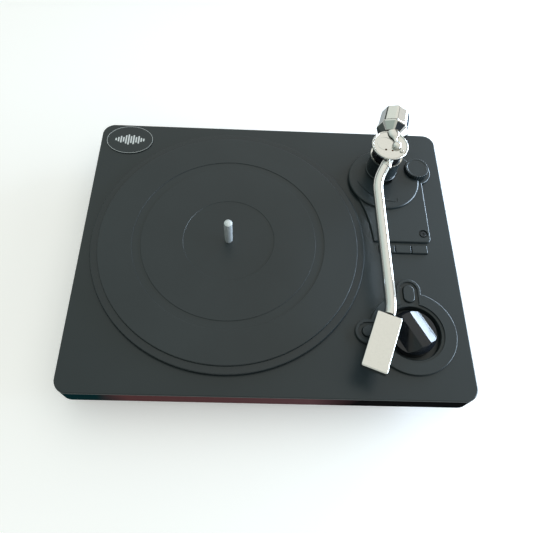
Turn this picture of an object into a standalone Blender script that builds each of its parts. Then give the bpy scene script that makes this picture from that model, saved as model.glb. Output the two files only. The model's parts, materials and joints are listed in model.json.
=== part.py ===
"""Belt-drive record player: deck, platter, tonearm, controls and the works inside.

Frame: metres, +Z up.  The origin is the middle of the deck's outline on the
surface that the feet stand on; +X is the tonearm side and -Y the front.
Each sub-part is one object; a moving piece has its origin, or its parent
empty, on its joint's axis.
"""
import math

import bmesh
import bpy
from mathutils import Matrix, Vector

for leftover in list(bpy.data.objects):
    bpy.data.objects.remove(leftover, do_unlink=True)

MM = 0.001

# ---- clearances -----------------------------------------------------------
GAP = 0.3 * MM            # between two faces that touch
RUN = 0.6 * MM            # between faces that turn past each other

# ---- deck and base --------------------------------------------------------
PLINTH_W = 339.0 * MM
PLINTH_D = 275.0 * MM
CORNER_R = 12.0 * MM
SIDE_H = 20.0 * MM        # visible side of the deck moulding
WALL = 3.0 * MM
EDGE_R = 1.2 * MM         # rounding of the deck's top edge
FOOT_R = 14.0 * MM
FOOT_H = 8.0 * MM
FOOT_INSET = 48.0 * MM    # foot centre from the deck's side
PAN_INSET = 25.0 * MM     # tray of the base, in from the deck's side
PAN_WALL = 2.5 * MM
PAN_DROP = 10.0 * MM      # tray below the deck moulding
PAN_CORNER_R = 8.0 * MM
FLANGE_T = 2.0 * MM
BOSS_R = 4.0 * MM
BOSS_INSET = 14.0 * MM
SCREW_R = 1.5 * MM
SCREW_HEAD_R = 3.0 * MM
SCREW_HEAD_H = 1.6 * MM

PAN_Z = FOOT_H + GAP                      # underside of the tray
DECK_LOW = PAN_Z + PAN_DROP               # lower edge of the deck moulding
TOP = DECK_LOW + SIDE_H                   # deck's top face
CEILING = TOP - WALL                      # deck's inner face

# ---- platter and drive ----------------------------------------------------
PLATTER_X = -36.9 * MM
PLATTER_Y = 2.6 * MM
PLATTER_R = 123.4 * MM
PLATTER_LIFT = 0.8 * MM   # platter's underside above the deck
PLATTER_T = 2.8 * MM
RIM_W = 6.8 * MM          # bare rim outside the mat
MAT_T = 1.6 * MM
MAT_GROOVE = (78.4 * MM, 86.5 * MM)
MAT_GROOVE_D = 0.6 * MM
LABEL_R = 41.0 * MM
LABEL_D = 0.4 * MM
SPINDLE_R = 3.6 * MM
SPINDLE_ABOVE = 28.0 * MM
WELL_MARGIN = 13.4 * MM   # platter's rim beyond the well
WELL_DEPTH = 8.0 * MM
WELL_WALL = 2.5 * MM
HUB_R = 14.0 * MM
PULLEY_R = 6.0 * MM
PULLEY_MARGIN = 8.0 * MM  # pulley to the well's wall
BELT_SPAN = 15.0 * MM     # free space between the pulley and the drive ring
BELT_T = 0.9 * MM
BELT_W = 4.0 * MM
RING_WALL = 8.0 * MM
MOTOR_ANGLE = math.radians(135.0)
MOTOR_R = 17.0 * MM
SHAFT_R = 1.0 * MM
MOTOR_SCREW_SPREAD = 12.0 * MM
BEARING_R = 7.5 * MM
BEARING_FLANGE_R = 13.0 * MM
BEARING_DEPTH = 16.0 * MM

MAT_TOP = TOP + PLATTER_LIFT + PLATTER_T + GAP + MAT_T
WELL_R = PLATTER_R - WELL_MARGIN
WELL_FLOOR = TOP - WELL_DEPTH
WELL_UNDER = WELL_FLOOR - WELL_WALL
MOTOR_DISTANCE = WELL_R - PULLEY_MARGIN - PULLEY_R
RING_R = MOTOR_DISTANCE - PULLEY_R - BELT_SPAN
MOTOR_X = PLATTER_X + MOTOR_DISTANCE * math.cos(MOTOR_ANGLE)
MOTOR_Y = PLATTER_Y + MOTOR_DISTANCE * math.sin(MOTOR_ANGLE)

# ---- tonearm --------------------------------------------------------------
DISC_OUT = 42.22 * MM     # base disc's centre beyond the platter's rim
DISC_ANGLE = math.radians(26.69)
DISC_X = PLATTER_X + (PLATTER_R + DISC_OUT) * math.cos(DISC_ANGLE)
DISC_Y = PLATTER_Y + (PLATTER_R + DISC_OUT) * math.sin(DISC_ANGLE)
PIVOT_X = DISC_X - 1.7 * MM
PIVOT_Y = DISC_Y + 10.7 * MM
PIVOT_UP = 34.5 * MM      # pitch axis above the deck
POST_R = 14.6 * MM
POST_TOP = 26.0 * MM      # above the deck
POST_TAIL_R = 8.0 * MM
POST_TAIL = 12.0 * MM     # below the deck's top
NUT_R = 13.0 * MM
NUT_T = 4.5 * MM
TRIM_R = 15.2 * MM
TRIM_W = 1.9 * MM
TRIM_T = 1.5 * MM
SWING_SPINDLE_R = 4.0 * MM
BUSH_WALL = 2.3 * MM
BUSH_L = 8.0 * MM
YOKE_R = 12.6 * MM
YOKE_T = 2.0 * MM
EAR_T = 2.6 * MM
EAR_W = 9.0 * MM
PIN_R = 1.5 * MM
BLOCK_W = 15.6 * MM
BLOCK_L = 18.0 * MM
BLOCK_LOW = 3.5 * MM      # block below the pitch axis
BLOCK_HIGH = 4.6 * MM     # block above the pitch axis
CAP_R = 16.9 * MM
CAP_T = 1.6 * MM
CAP_RIM_W = 1.4 * MM
CAP_RIM_H = 0.8 * MM
HUB_DOME_R = 4.2 * MM
HUB_DOME_AT = (6.0 * MM, -1.0 * MM)       # from the pivot
TUBE_R = 4.9 * MM
TUBE_LOW = 0.4 * MM       # tube's centre below the pitch axis, at the block
TUBE_FALL = 8.0 * MM      # the same at the headshell
SHELL_W = 20.6 * MM
SHELL_L = 48.2 * MM
SHELL_T = 7.0 * MM
SHELL_TURN = math.radians(20.6)
SHELL_JOINT = 0.7 * MM    # clears the end of the sloping tube
CARTRIDGE_W = 12.0 * MM
CARTRIDGE_L = 24.0 * MM
CARTRIDGE_H = 11.0 * MM
STYLUS_FROM_BACK = 30.0 * MM
STYLUS_CLEAR = 2.5 * MM   # stylus tip above the mat at rest
STUB_R = 3.5 * MM
STUB_TURN = math.radians(14.5)
WEIGHT_START = 17.6 * MM  # from the pivot, along the stub
WEIGHT_CONE = 6.0 * MM
WEIGHT_L = 28.9 * MM
WEIGHT_LIP_R = 9.8 * MM
WEIGHT_R = 15.2 * MM
WEIGHT_BACK_R = 13.6 * MM
WEIGHT_CLOSED = 4.0 * MM  # solid end of the weight, behind its bore
STUB_SHORT = 6.0 * MM     # stub's end, ahead of the weight's back face

# ---- plate under the tonearm ----------------------------------------------
PLATE_T = 2.1 * MM
PLATE_ARC_GAP = 9.4 * MM  # platter's rim to the plate's curved edge
PLATE_FRONT = 4.9 * MM    # front edge, behind the platter's centre
PLATE_RIGHT = 38.0 * MM   # right edge, from the disc's centre
PLATE_CORNER_R = 4.0 * MM
DISC_R = 34.4 * MM
DISC_T = 2.1 * MM
DIAL_X = DISC_X + 33.0 * MM
DIAL_Y = DISC_Y + 11.5 * MM
DIAL_R = 11.5 * MM
DIAL_T = 6.0 * MM
DIAL_LOBE_R = 15.0 * MM
DIAL_SHAFT_R = 2.5 * MM
PLATE_SCREW_X = DISC_X + PLATE_RIGHT - 6.2 * MM
PLATE_SCREW_Y = PLATTER_Y + PLATE_FRONT + 8.8 * MM
KEY_W = 14.2 * MM
KEY_D = 7.8 * MM
KEY_UP = 2.0 * MM
KEY_SPACE = 0.8 * MM
KEY_TRAVEL = 1.5 * MM
KEY_MIDDLE_X = DISC_X + PLATE_RIGHT - 26.6 * MM
KEY_Y = PLATTER_Y + PLATE_FRONT - 7.6 * MM
FLANGE_LIP = 1.6 * MM     # a key's retaining lip under the deck

# ---- control bezel --------------------------------------------------------
KNOB_OUT = 55.86 * MM     # knob's centre beyond the platter's rim
KNOB_ANGLE = math.radians(-27.63)
KNOB_X = PLATTER_X + (PLATTER_R + KNOB_OUT) * math.cos(KNOB_ANGLE)
KNOB_Y = PLATTER_Y + (PLATTER_R + KNOB_OUT) * math.sin(KNOB_ANGLE)
KNOB_R = 19.5 * MM
KNOB_TOP_R = 15.9 * MM
KNOB_UP = 9.5 * MM        # knob's top above the deck
KNOB_SKIRT_UP = 2.5 * MM
KNOB_BAR_HALF = 4.3 * MM
KNOB_FACET_OUT = 14.8 * MM
KNOB_TURN = math.radians(-61.3)
BEZEL_R = 36.8 * MM
BEZEL_UP = 2.6 * MM
BEZEL_RECESS = 1.4 * MM
BEZEL_INNER_R = 26.5 * MM
CUP_R = 24.0 * MM
CUP_DEPTH = 6.0 * MM
CUP_WALL = 1.6 * MM
LOBE_HALF = 10.75 * MM
LOBE_RIM = 2.6 * MM
LOBE_REACH = 49.6 * MM    # from the knob's axis to a lobe's end
BUTTON_W = 9.8 * MM
BUTTON_L = 16.3 * MM
BUTTON_OUT = 43.6 * MM    # button's far end from the knob's axis
BUTTON_UP = 3.2 * MM
BUTTON_TRAVEL = 1.2 * MM
POT_R = 8.5 * MM
POT_BUSH_R = 4.5 * MM
POT_SHAFT_R = 3.0 * MM

# ---- boards, sockets and badge --------------------------------------------
BOARD_T = 1.6 * MM
BOARD_DROP = 14.0 * MM    # control boards' top face below the deck's top
SWITCH_HALF = 3.5 * MM
PLUNGER_HALF = 1.5 * MM
STANDOFF_R = 3.0 * MM
STAKE_R = 1.5 * MM        # moulded pin through a board, flattened over it
STAKE_HEAD_R = 2.4 * MM
STAKE_T = 1.2 * MM
MAIN_BOARD_W = 80.0 * MM
MAIN_BOARD_D = 45.0 * MM
MAIN_BOARD_UP = 3.0 * MM  # above the tray's floor
JACK_SIZE = 9.0 * MM
JACK_DEPTH = 16.0 * MM
SOCKET_R = 6.9 * MM
SOCKET_DEPTH = 14.0 * MM
SOCKET_UP = 9.2 * MM      # socket centres above the deck's lower edge
SOCKET_XS = (-140.0 * MM, -118.0 * MM)
JACK_X = -94.0 * MM
BADGE_W = 46.0 * MM
BADGE_D = 34.5 * MM
BADGE_T = 0.6 * MM
BADGE_IN = (28.6 * MM, 20.0 * MM)         # badge's centre, in from the deck's sides

FINE = 60                 # sides of the large turned parts that show
COARSE = 36               # and of those inside
MEDIUM = 24
SMALL = 10


# ---- modelling helpers ----------------------------------------------------
def finish(name, colour, roughness, metallic):
    """A plain Principled material."""
    made = bpy.data.materials.new(name)
    made.use_nodes = True
    shader = made.node_tree.nodes["Principled BSDF"]
    shader.inputs["Base Color"].default_value = (*colour, 1.0)
    shader.inputs["Roughness"].default_value = roughness
    shader.inputs["Metallic"].default_value = metallic
    return made


def circle(radius, z, sides, x=0.0, y=0.0):
    """Points round a circle, anticlockwise from +X."""
    turn = 2.0 * math.pi / sides
    return [Vector((x + radius * math.cos(i * turn), y + radius * math.sin(i * turn), z))
            for i in range(sides)]


def arc(x, y, radius, start, end, steps):
    """Points along an arc in the plane, both ends included; angles in radians."""
    return [(x + radius * math.cos(start + (end - start) * i / steps),
             y + radius * math.sin(start + (end - start) * i / steps))
            for i in range(steps + 1)]


def rounded(width, depth, radius, z, x=0.0, y=0.0, steps=4):
    """Points round a rectangle with round corners, anticlockwise."""
    points = []
    for quarter, (sx, sy) in enumerate(((1, 1), (-1, 1), (-1, -1), (1, -1))):
        start = quarter * math.pi / 2.0
        points += arc(x + sx * (width / 2.0 - radius), y + sy * (depth / 2.0 - radius),
                      radius, start, start + math.pi / 2.0, steps)
    return [Vector((px, py, z)) for px, py in points]


def pill(width, length, z, x=0.0, y=0.0, steps=6):
    """Points round a slot shape whose length runs along Y."""
    reach = (length - width) / 2.0
    points = arc(x, y + reach, width / 2.0, 0.0, math.pi, steps)
    points += arc(x, y - reach, width / 2.0, math.pi, 2.0 * math.pi, steps)
    return [Vector((px, py, z)) for px, py in points]


def loft(mesh, loops, closed=False):
    """Skin a row of loops with equal counts; caps the ends, or joins them when closed."""
    rings = [[mesh.verts.new(point) for point in loop] for loop in loops]
    pairs = list(zip(rings, rings[1:]))
    if closed:
        pairs.append((rings[-1], rings[0]))
    for low, high in pairs:
        for i in range(len(low)):
            j = (i + 1) % len(low)
            mesh.faces.new((low[i], low[j], high[j], high[i]))
    if not closed:
        mesh.faces.new(list(reversed(rings[0])))
        mesh.faces.new(rings[-1])


def turned(mesh, profile, sides, x=0.0, y=0.0):
    """A solid of revolution from (radius, height) pairs.

    A profile that starts and ends at radius 0 is solid on its axis; any other is a ring.
    """
    on_axis = profile[0][0] == 0.0
    if not on_axis:
        loft(mesh, [circle(r, z, sides, x, y) for r, z in profile], closed=True)
        return
    rings = [[mesh.verts.new(p) for p in circle(r, z, sides, x, y)] for r, z in profile[1:-1]]
    first = mesh.verts.new((x, y, profile[0][1]))
    last = mesh.verts.new((x, y, profile[-1][1]))
    for low, high in zip(rings, rings[1:]):
        for i in range(sides):
            j = (i + 1) % sides
            mesh.faces.new((low[i], low[j], high[j], high[i]))
    for i in range(sides):
        j = (i + 1) % sides
        mesh.faces.new((first, rings[0][j], rings[0][i]))
        mesh.faces.new((last, rings[-1][i], rings[-1][j]))


def rod(mesh, radius, low, high, sides, x=0.0, y=0.0):
    """A plain upright cylinder."""
    loft(mesh, [circle(radius, low, sides, x, y), circle(radius, high, sides, x, y)])


def tube(mesh, inner, outer, low, high, sides, x=0.0, y=0.0):
    """A plain upright tube."""
    turned(mesh, [(outer, low), (outer, high), (inner, high), (inner, low)], sides, x, y)


def slab(mesh, outline, low, high):
    """An upright prism over a plane outline."""
    loft(mesh, [[Vector((p[0], p[1], low)) for p in outline],
                [Vector((p[0], p[1], high)) for p in outline]])


def block(mesh, low, high):
    """A box between two corners."""
    slab(mesh, [(low[0], low[1]), (high[0], low[1]), (high[0], high[1]), (low[0], high[1])],
         low[2], high[2])


def turn_mesh(mesh, matrix):
    """Turn or move all that a mesh holds so far."""
    bmesh.ops.transform(mesh, matrix=matrix, verts=mesh.verts)


def make(name, mesh, material=None, parent=None, at=(0.0, 0.0, 0.0), smooth=True):
    """Turn the mesh under construction into an object, its normals outward."""
    bmesh.ops.recalc_face_normals(mesh, faces=mesh.faces)
    data = bpy.data.meshes.new(name)
    mesh.to_mesh(data)
    mesh.free()
    if smooth:
        data.shade_smooth()
        data.set_sharp_from_angle(angle=math.radians(35.0))
    made = bpy.data.objects.new(name, data)
    bpy.context.collection.objects.link(made)
    made.location = at
    made.parent = parent
    if material:
        data.materials.append(material)
    return made


def axis_at(name, x, y, z, parent=None):
    """An empty that stands on a joint's axis."""
    made = bpy.data.objects.new(name, None)
    bpy.context.collection.objects.link(made)
    made.location = (x, y, z)
    made.parent = parent
    return made


def shape_with(target, helper, operation):
    """Cut or join a hidden helper solid into a piece, and keep the piece live."""
    helper.hide_render = True
    helper.display_type = "WIRE"
    step = target.modifiers.new(helper.name, "BOOLEAN")
    step.operation = operation
    step.solver = "EXACT"
    step.object = helper


def helper_solid(name, build, parent=None):
    """A hidden solid for shape_with; build fills its mesh."""
    mesh = bmesh.new()
    build(mesh)
    return make(name, mesh, parent=parent, smooth=False)


# ---- finishes -------------------------------------------------------------
BLACK = finish("black_moulding", (0.018, 0.020, 0.022), 0.42, 0.0)
BLACK_PAINT = finish("black_painted_metal", (0.020, 0.022, 0.023), 0.38, 0.1)
BLACK_GLOSS = finish("black_gloss_plastic", (0.010, 0.010, 0.012), 0.12, 0.0)
DARK_METAL = finish("dark_metal", (0.030, 0.031, 0.033), 0.30, 0.6)
CHROME = finish("chrome_plate", (0.80, 0.80, 0.78), 0.08, 1.0)
STEEL = finish("steel", (0.55, 0.55, 0.56), 0.30, 1.0)
BRASS = finish("brass", (0.60, 0.45, 0.18), 0.30, 1.0)
RUBBER = finish("black_rubber", (0.012, 0.012, 0.012), 0.80, 0.0)
MAT_RUBBER = finish("mat_rubber", (0.024, 0.027, 0.028), 0.60, 0.0)
WHITE_NYLON = finish("white_nylon", (0.75, 0.74, 0.70), 0.50, 0.0)
BOARD_GREEN = finish("circuit_board", (0.02, 0.14, 0.06), 0.50, 0.0)
RED_PLASTIC = finish("red_insert", (0.45, 0.02, 0.02), 0.35, 0.0)
WHITE_PLASTIC = finish("white_insert", (0.70, 0.70, 0.68), 0.35, 0.0)


def plinth_loop(inset, radius, z):
    """The deck's outline, drawn in by an inset."""
    return rounded(PLINTH_W - 2.0 * inset, PLINTH_D - 2.0 * inset, radius, z, steps=6)


QUARTERS = ("front_left", "front_right", "back_left", "back_right")


def corners(inset):
    """The four places at an inset from the deck's sides, in the order of QUARTERS."""
    x, y = PLINTH_W / 2.0 - inset, PLINTH_D / 2.0 - inset
    return ((-x, -y), (x, -y), (-x, y), (x, y))


# ---- places under the deck ------------------------------------------------
CONTROL_BOARD = (KNOB_X - 52.8 * MM, KNOB_X + 33.2 * MM, KNOB_Y - 29.0 * MM, KNOB_Y + 47.0 * MM)
BOARD_EDGE = 4.0 * MM     # a stake's centre from the board's edge
BANK_HALF = 1.5 * (KEY_W + KEY_SPACE) + 8.0 * MM
BANK_D = 12.0 * MM
KEY_XS = [KEY_MIDDLE_X + i * (KEY_W + KEY_SPACE) for i in (-1, 0, 1)]
TOP_BUTTON = (KNOB_X, KNOB_Y + BUTTON_OUT - BUTTON_L / 2.0)
LEFT_BUTTON = (KNOB_X - BUTTON_OUT + BUTTON_L / 2.0, KNOB_Y)
BOARD_TOP = TOP - BOARD_DROP
CONTROL_POSTS = [(x, y) for x in (CONTROL_BOARD[0] + BOARD_EDGE, CONTROL_BOARD[1] - BOARD_EDGE)
                 for y in (CONTROL_BOARD[2] + BOARD_EDGE, CONTROL_BOARD[3] - BOARD_EDGE)]
BANK_POSTS = [(KEY_MIDDLE_X + side * (BANK_HALF - BOARD_EDGE), KEY_Y) for side in (-1, 1)]
MAIN_BOARD_X = PLATTER_X - 50.0 * MM
MAIN_BOARD_Y = PLATTER_Y - 85.0 * MM
MAIN_POSTS = [(MAIN_BOARD_X + sx * (MAIN_BOARD_W / 2.0 - BOARD_EDGE),
               MAIN_BOARD_Y + sy * (MAIN_BOARD_D / 2.0 - BOARD_EDGE))
              for sx in (-1, 1) for sy in (-1, 1)]
TRAY_FLOOR = PAN_Z + PAN_WALL
MAIN_BOARD_Z = TRAY_FLOOR + MAIN_BOARD_UP + GAP
SOCKET_Z = DECK_LOW + SOCKET_UP
BACK = PLINTH_D / 2.0
POT_UNDER = TOP - CUP_DEPTH - CUP_WALL - GAP     # potentiometer's top face


# ---- deck -----------------------------------------------------------------
def make_deck():
    """The top moulding: a shell with the platter's well, bosses and openings."""
    mesh = bmesh.new()
    bottom = DECK_LOW
    loft(mesh, [plinth_loop(WALL, CORNER_R - WALL, CEILING),
                plinth_loop(WALL, CORNER_R - WALL, bottom),
                plinth_loop(0.0, CORNER_R, bottom),
                plinth_loop(0.0, CORNER_R, TOP - EDGE_R),
                plinth_loop(EDGE_R * 0.3, CORNER_R - EDGE_R * 0.3, TOP - EDGE_R * 0.3),
                plinth_loop(EDGE_R, CORNER_R - EDGE_R, TOP)])
    deck = make("deck", mesh, BLACK)

    def bosses(grown):
        for x, y in corners(BOSS_INSET):
            rod(grown, BOSS_R, DECK_LOW + FLANGE_T + GAP, TOP - WALL / 2.0, SMALL, x, y)
        for x, y in CONTROL_POSTS + BANK_POSTS:
            stake = BOARD_TOP - BOARD_T - GAP
            turned(grown, [(0.0, stake - STAKE_T), (STAKE_HEAD_R, stake - STAKE_T),
                           (STAKE_HEAD_R, stake), (STAKE_R, stake), (STAKE_R, BOARD_TOP + GAP),
                           (STANDOFF_R, BOARD_TOP + GAP), (STANDOFF_R, TOP - WALL / 2.0),
                           (0.0, TOP - WALL / 2.0)], SMALL, x, y)
        rod(grown, WELL_R + WELL_WALL, WELL_UNDER, TOP - WALL / 2.0, COARSE,
            PLATTER_X, PLATTER_Y)

    def openings(cut):
        above = TOP + 1.0 * MM
        rod(cut, WELL_R, WELL_FLOOR, above, COARSE, PLATTER_X, PLATTER_Y)
        rod(cut, POST_TAIL_R + GAP, CEILING - 1.0 * MM, above, MEDIUM, PIVOT_X, PIVOT_Y)
        rod(cut, DIAL_SHAFT_R + GAP, CEILING - 1.0 * MM, above, SMALL, DIAL_X, DIAL_Y)
        rod(cut, SCREW_R + GAP, CEILING - 1.0 * MM, above, SMALL, PLATE_SCREW_X, PLATE_SCREW_Y)
        rod(cut, CUP_R + CUP_WALL + GAP, CEILING - 1.0 * MM, above, COARSE, KNOB_X, KNOB_Y)
        for x in KEY_XS:
            block(cut, (x - KEY_W / 2.0 - GAP, KEY_Y - KEY_D / 2.0 - GAP, CEILING - 1.0 * MM),
                  (x + KEY_W / 2.0 + GAP, KEY_Y + KEY_D / 2.0 + GAP, above))
        slab(cut, pill(BUTTON_W + 2.0 * GAP, BUTTON_L + 2.0 * GAP, 0.0, *TOP_BUTTON),
             CEILING - 1.0 * MM, above)
        slab(cut, [(LEFT_BUTTON[0] + p.y, LEFT_BUTTON[1] + p.x)
                   for p in reversed(pill(BUTTON_W + 2.0 * GAP, BUTTON_L + 2.0 * GAP, 0.0))],
             CEILING - 1.0 * MM, above)

    def holes(cut):
        low, above = WELL_UNDER - 1.0 * MM, WELL_FLOOR + 1.0 * MM
        rod(cut, BEARING_R + GAP, low, above, MEDIUM, PLATTER_X, PLATTER_Y)
        rod(cut, PULLEY_R - 1.0 * MM, low, above, SMALL, MOTOR_X, MOTOR_Y)
        for x, y in motor_screw_places():
            rod(cut, SCREW_R + GAP, low, above, SMALL, x, y)
        for x, y in corners(BOSS_INSET):
            rod(cut, SCREW_R + GAP, DECK_LOW, CEILING - 2.0 * MM, SMALL, x, y)
        block(cut, (JACK_X - JACK_SIZE / 2.0 - GAP, BACK - WALL - 1.0 * MM,
                    SOCKET_Z - JACK_SIZE / 2.0 - GAP),
              (JACK_X + JACK_SIZE / 2.0 + GAP, BACK + 1.0 * MM, SOCKET_Z + JACK_SIZE / 2.0 + GAP))
        for x in SOCKET_XS:
            across = bmesh.new()
            rod(across, SOCKET_R + GAP, -WALL - 1.0 * MM, 1.0 * MM, MEDIUM)
            turn_mesh(across, Matrix.Translation((x, BACK, SOCKET_Z)) @ to_back())
            held = bpy.data.meshes.new("socket_hole")
            across.to_mesh(held)
            across.free()
            cut.from_mesh(held)

    shape_with(deck, helper_solid("deck_bosses", bosses), "UNION")
    shape_with(deck, helper_solid("deck_openings", openings), "DIFFERENCE")
    shape_with(deck, helper_solid("deck_holes", holes), "DIFFERENCE")
    return deck


def to_back():
    """Turns +Z to +Y, for what faces out of the back."""
    return Matrix.Rotation(-math.pi / 2.0, 4, "X")


def motor_screw_places():
    """The two screws beside the motor's shaft."""
    return [(MOTOR_X + side * MOTOR_SCREW_SPREAD * math.sin(MOTOR_ANGLE),
             MOTOR_Y - side * MOTOR_SCREW_SPREAD * math.cos(MOTOR_ANGLE)) for side in (-1, 1)]


def make_base():
    """The tray that closes the deck from below, its screws and the four feet."""
    mesh = bmesh.new()
    rim = WALL + GAP
    inner = PAN_INSET + PAN_WALL
    loft(mesh, [plinth_loop(PAN_INSET + 1.0 * MM, PAN_CORNER_R - 1.0 * MM, PAN_Z),
                plinth_loop(PAN_INSET, PAN_CORNER_R, PAN_Z + 1.0 * MM),
                plinth_loop(PAN_INSET, PAN_CORNER_R, DECK_LOW),
                plinth_loop(rim, CORNER_R - rim, DECK_LOW),
                plinth_loop(rim, CORNER_R - rim, DECK_LOW + FLANGE_T),
                plinth_loop(inner, PAN_CORNER_R - PAN_WALL, DECK_LOW + FLANGE_T),
                plinth_loop(inner, PAN_CORNER_R - PAN_WALL, TRAY_FLOOR)])
    pan = make("bottom_pan", mesh, BLACK)

    def posts(grown):
        for x, y in MAIN_POSTS:
            stake = MAIN_BOARD_Z + BOARD_T + GAP
            turned(grown, [(0.0, TRAY_FLOOR - PAN_WALL / 2.0),
                           (STANDOFF_R, TRAY_FLOOR - PAN_WALL / 2.0),
                           (STANDOFF_R, MAIN_BOARD_Z - GAP), (STAKE_R, MAIN_BOARD_Z - GAP),
                           (STAKE_R, stake), (STAKE_HEAD_R, stake), (STAKE_HEAD_R, stake + STAKE_T),
                           (0.0, stake + STAKE_T)], SMALL, x, y)

    def holes(cut):
        for x, y in corners(BOSS_INSET):
            rod(cut, SCREW_R + GAP, DECK_LOW - 1.0 * MM, DECK_LOW + FLANGE_T + 1.0 * MM,
                SMALL, x, y)

    shape_with(pan, helper_solid("pan_posts", posts), "UNION")
    shape_with(pan, helper_solid("pan_holes", holes), "DIFFERENCE")

    seat = DECK_LOW - GAP
    for name, (x, y) in zip(QUARTERS, corners(BOSS_INSET)):
        mesh = bmesh.new()
        turned(mesh, [(0.0, seat - SCREW_HEAD_H), (SCREW_HEAD_R, seat - SCREW_HEAD_H),
                      (SCREW_HEAD_R, seat), (SCREW_R, seat), (SCREW_R, seat + 10.0 * MM),
                      (0.0, seat + 10.0 * MM)], SMALL)
        make("pan_screw_" + name, mesh, STEEL, at=(x, y, 0.0))

    for name, (x, y) in zip(QUARTERS, corners(FOOT_INSET)):
        mesh = bmesh.new()
        turned(mesh, [(0.0, 0.0), (FOOT_R - 1.0 * MM, 0.0), (FOOT_R, 1.0 * MM),
                      (FOOT_R, FOOT_H), (0.0, FOOT_H)], MEDIUM)
        make("foot_" + name, mesh, RUBBER, at=(x, y, 0.0))


# ---- platter and drive ----------------------------------------------------
def make_platter():
    """Platter, mat, drive ring and spindle, which turn together."""
    axis = axis_at("platter_axis", PLATTER_X, PLATTER_Y, 0.0)
    low = TOP + PLATTER_LIFT
    high = low + PLATTER_T
    bore = SPINDLE_R + GAP
    hub_low = WELL_FLOOR + GAP + YOKE_T + RUN
    mesh = bmesh.new()
    turned(mesh, [(bore, hub_low), (HUB_R, hub_low), (HUB_R, low),
                  (PLATTER_R, low), (PLATTER_R, high - 0.6 * MM), (PLATTER_R - 0.6 * MM, high), (bore, high)],
           FINE)
    make("platter", mesh, BLACK_PAINT, axis)

    mat_r = PLATTER_R - RIM_W
    mat_low = high + GAP
    groove_in, groove_out = MAT_GROOVE
    edge = 0.3 * MM
    mesh = bmesh.new()
    turned(mesh, [(bore, mat_low), (mat_r, mat_low), (mat_r, MAT_TOP), (groove_out, MAT_TOP),
                  (groove_out - edge, MAT_TOP - MAT_GROOVE_D),
                  (groove_in + edge, MAT_TOP - MAT_GROOVE_D), (groove_in, MAT_TOP),
                  (LABEL_R, MAT_TOP), (LABEL_R - edge, MAT_TOP - LABEL_D),
                  (bore, MAT_TOP - LABEL_D)], FINE)
    make("platter_mat", mesh, MAT_RUBBER, axis)

    mesh = bmesh.new()
    ring_low = WELL_FLOOR + 1.5 * MM
    tube(mesh, RING_R - RING_WALL, RING_R, ring_low, low - GAP, COARSE)
    make("drive_ring", mesh, BLACK, axis)

    spindle_low = WELL_FLOOR - BEARING_DEPTH + 2.0 * MM + 1.5 * MM + 2.0 * GAP
    tip = MAT_TOP + SPINDLE_ABOVE
    chamfer = 1.4 * MM
    mesh = bmesh.new()
    turned(mesh, [(0.0, spindle_low), (SPINDLE_R, spindle_low), (SPINDLE_R, tip - chamfer),
                  (SPINDLE_R - chamfer, tip), (0.0, tip)], MEDIUM)
    make("spindle", mesh, STEEL, axis)


def make_bearing():
    """The platter's bearing: a flanged cup through the well's floor, with its pad."""
    low = WELL_FLOOR - BEARING_DEPTH
    seat = WELL_FLOOR + GAP
    bore = SPINDLE_R + GAP
    floor = low + 2.0 * MM
    mesh = bmesh.new()
    turned(mesh, [(0.0, low), (BEARING_R, low), (BEARING_R, seat), (BEARING_FLANGE_R, seat),
                  (BEARING_FLANGE_R, seat + YOKE_T), (bore, seat + YOKE_T), (bore, floor),
                  (0.0, floor)], MEDIUM)
    make("bearing_housing", mesh, BRASS, at=(PLATTER_X, PLATTER_Y, 0.0))
    mesh = bmesh.new()
    rod(mesh, SPINDLE_R, floor + GAP, floor + GAP + 1.5 * MM, SMALL)
    make("thrust_pad", mesh, WHITE_NYLON, at=(PLATTER_X, PLATTER_Y, 0.0))


def belt_loop(grow, z):
    """The belt's line round the drive ring and the pulley, both grown by the same amount.

    The straight runs touch both circles, so both arcs stop at the same angle.
    """
    wide, narrow = RING_R + grow, PULLEY_R + grow
    touch = math.acos((wide - narrow) / MOTOR_DISTANCE)
    points = arc(0.0, 0.0, wide, touch, 2.0 * math.pi - touch, 30)
    points += arc(MOTOR_DISTANCE, 0.0, narrow, -touch, touch, 8)
    turn = Matrix.Rotation(MOTOR_ANGLE, 3, "Z")
    return [turn @ Vector((x, y, 0.0)) + Vector((PLATTER_X, PLATTER_Y, z)) for x, y in points]


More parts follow.
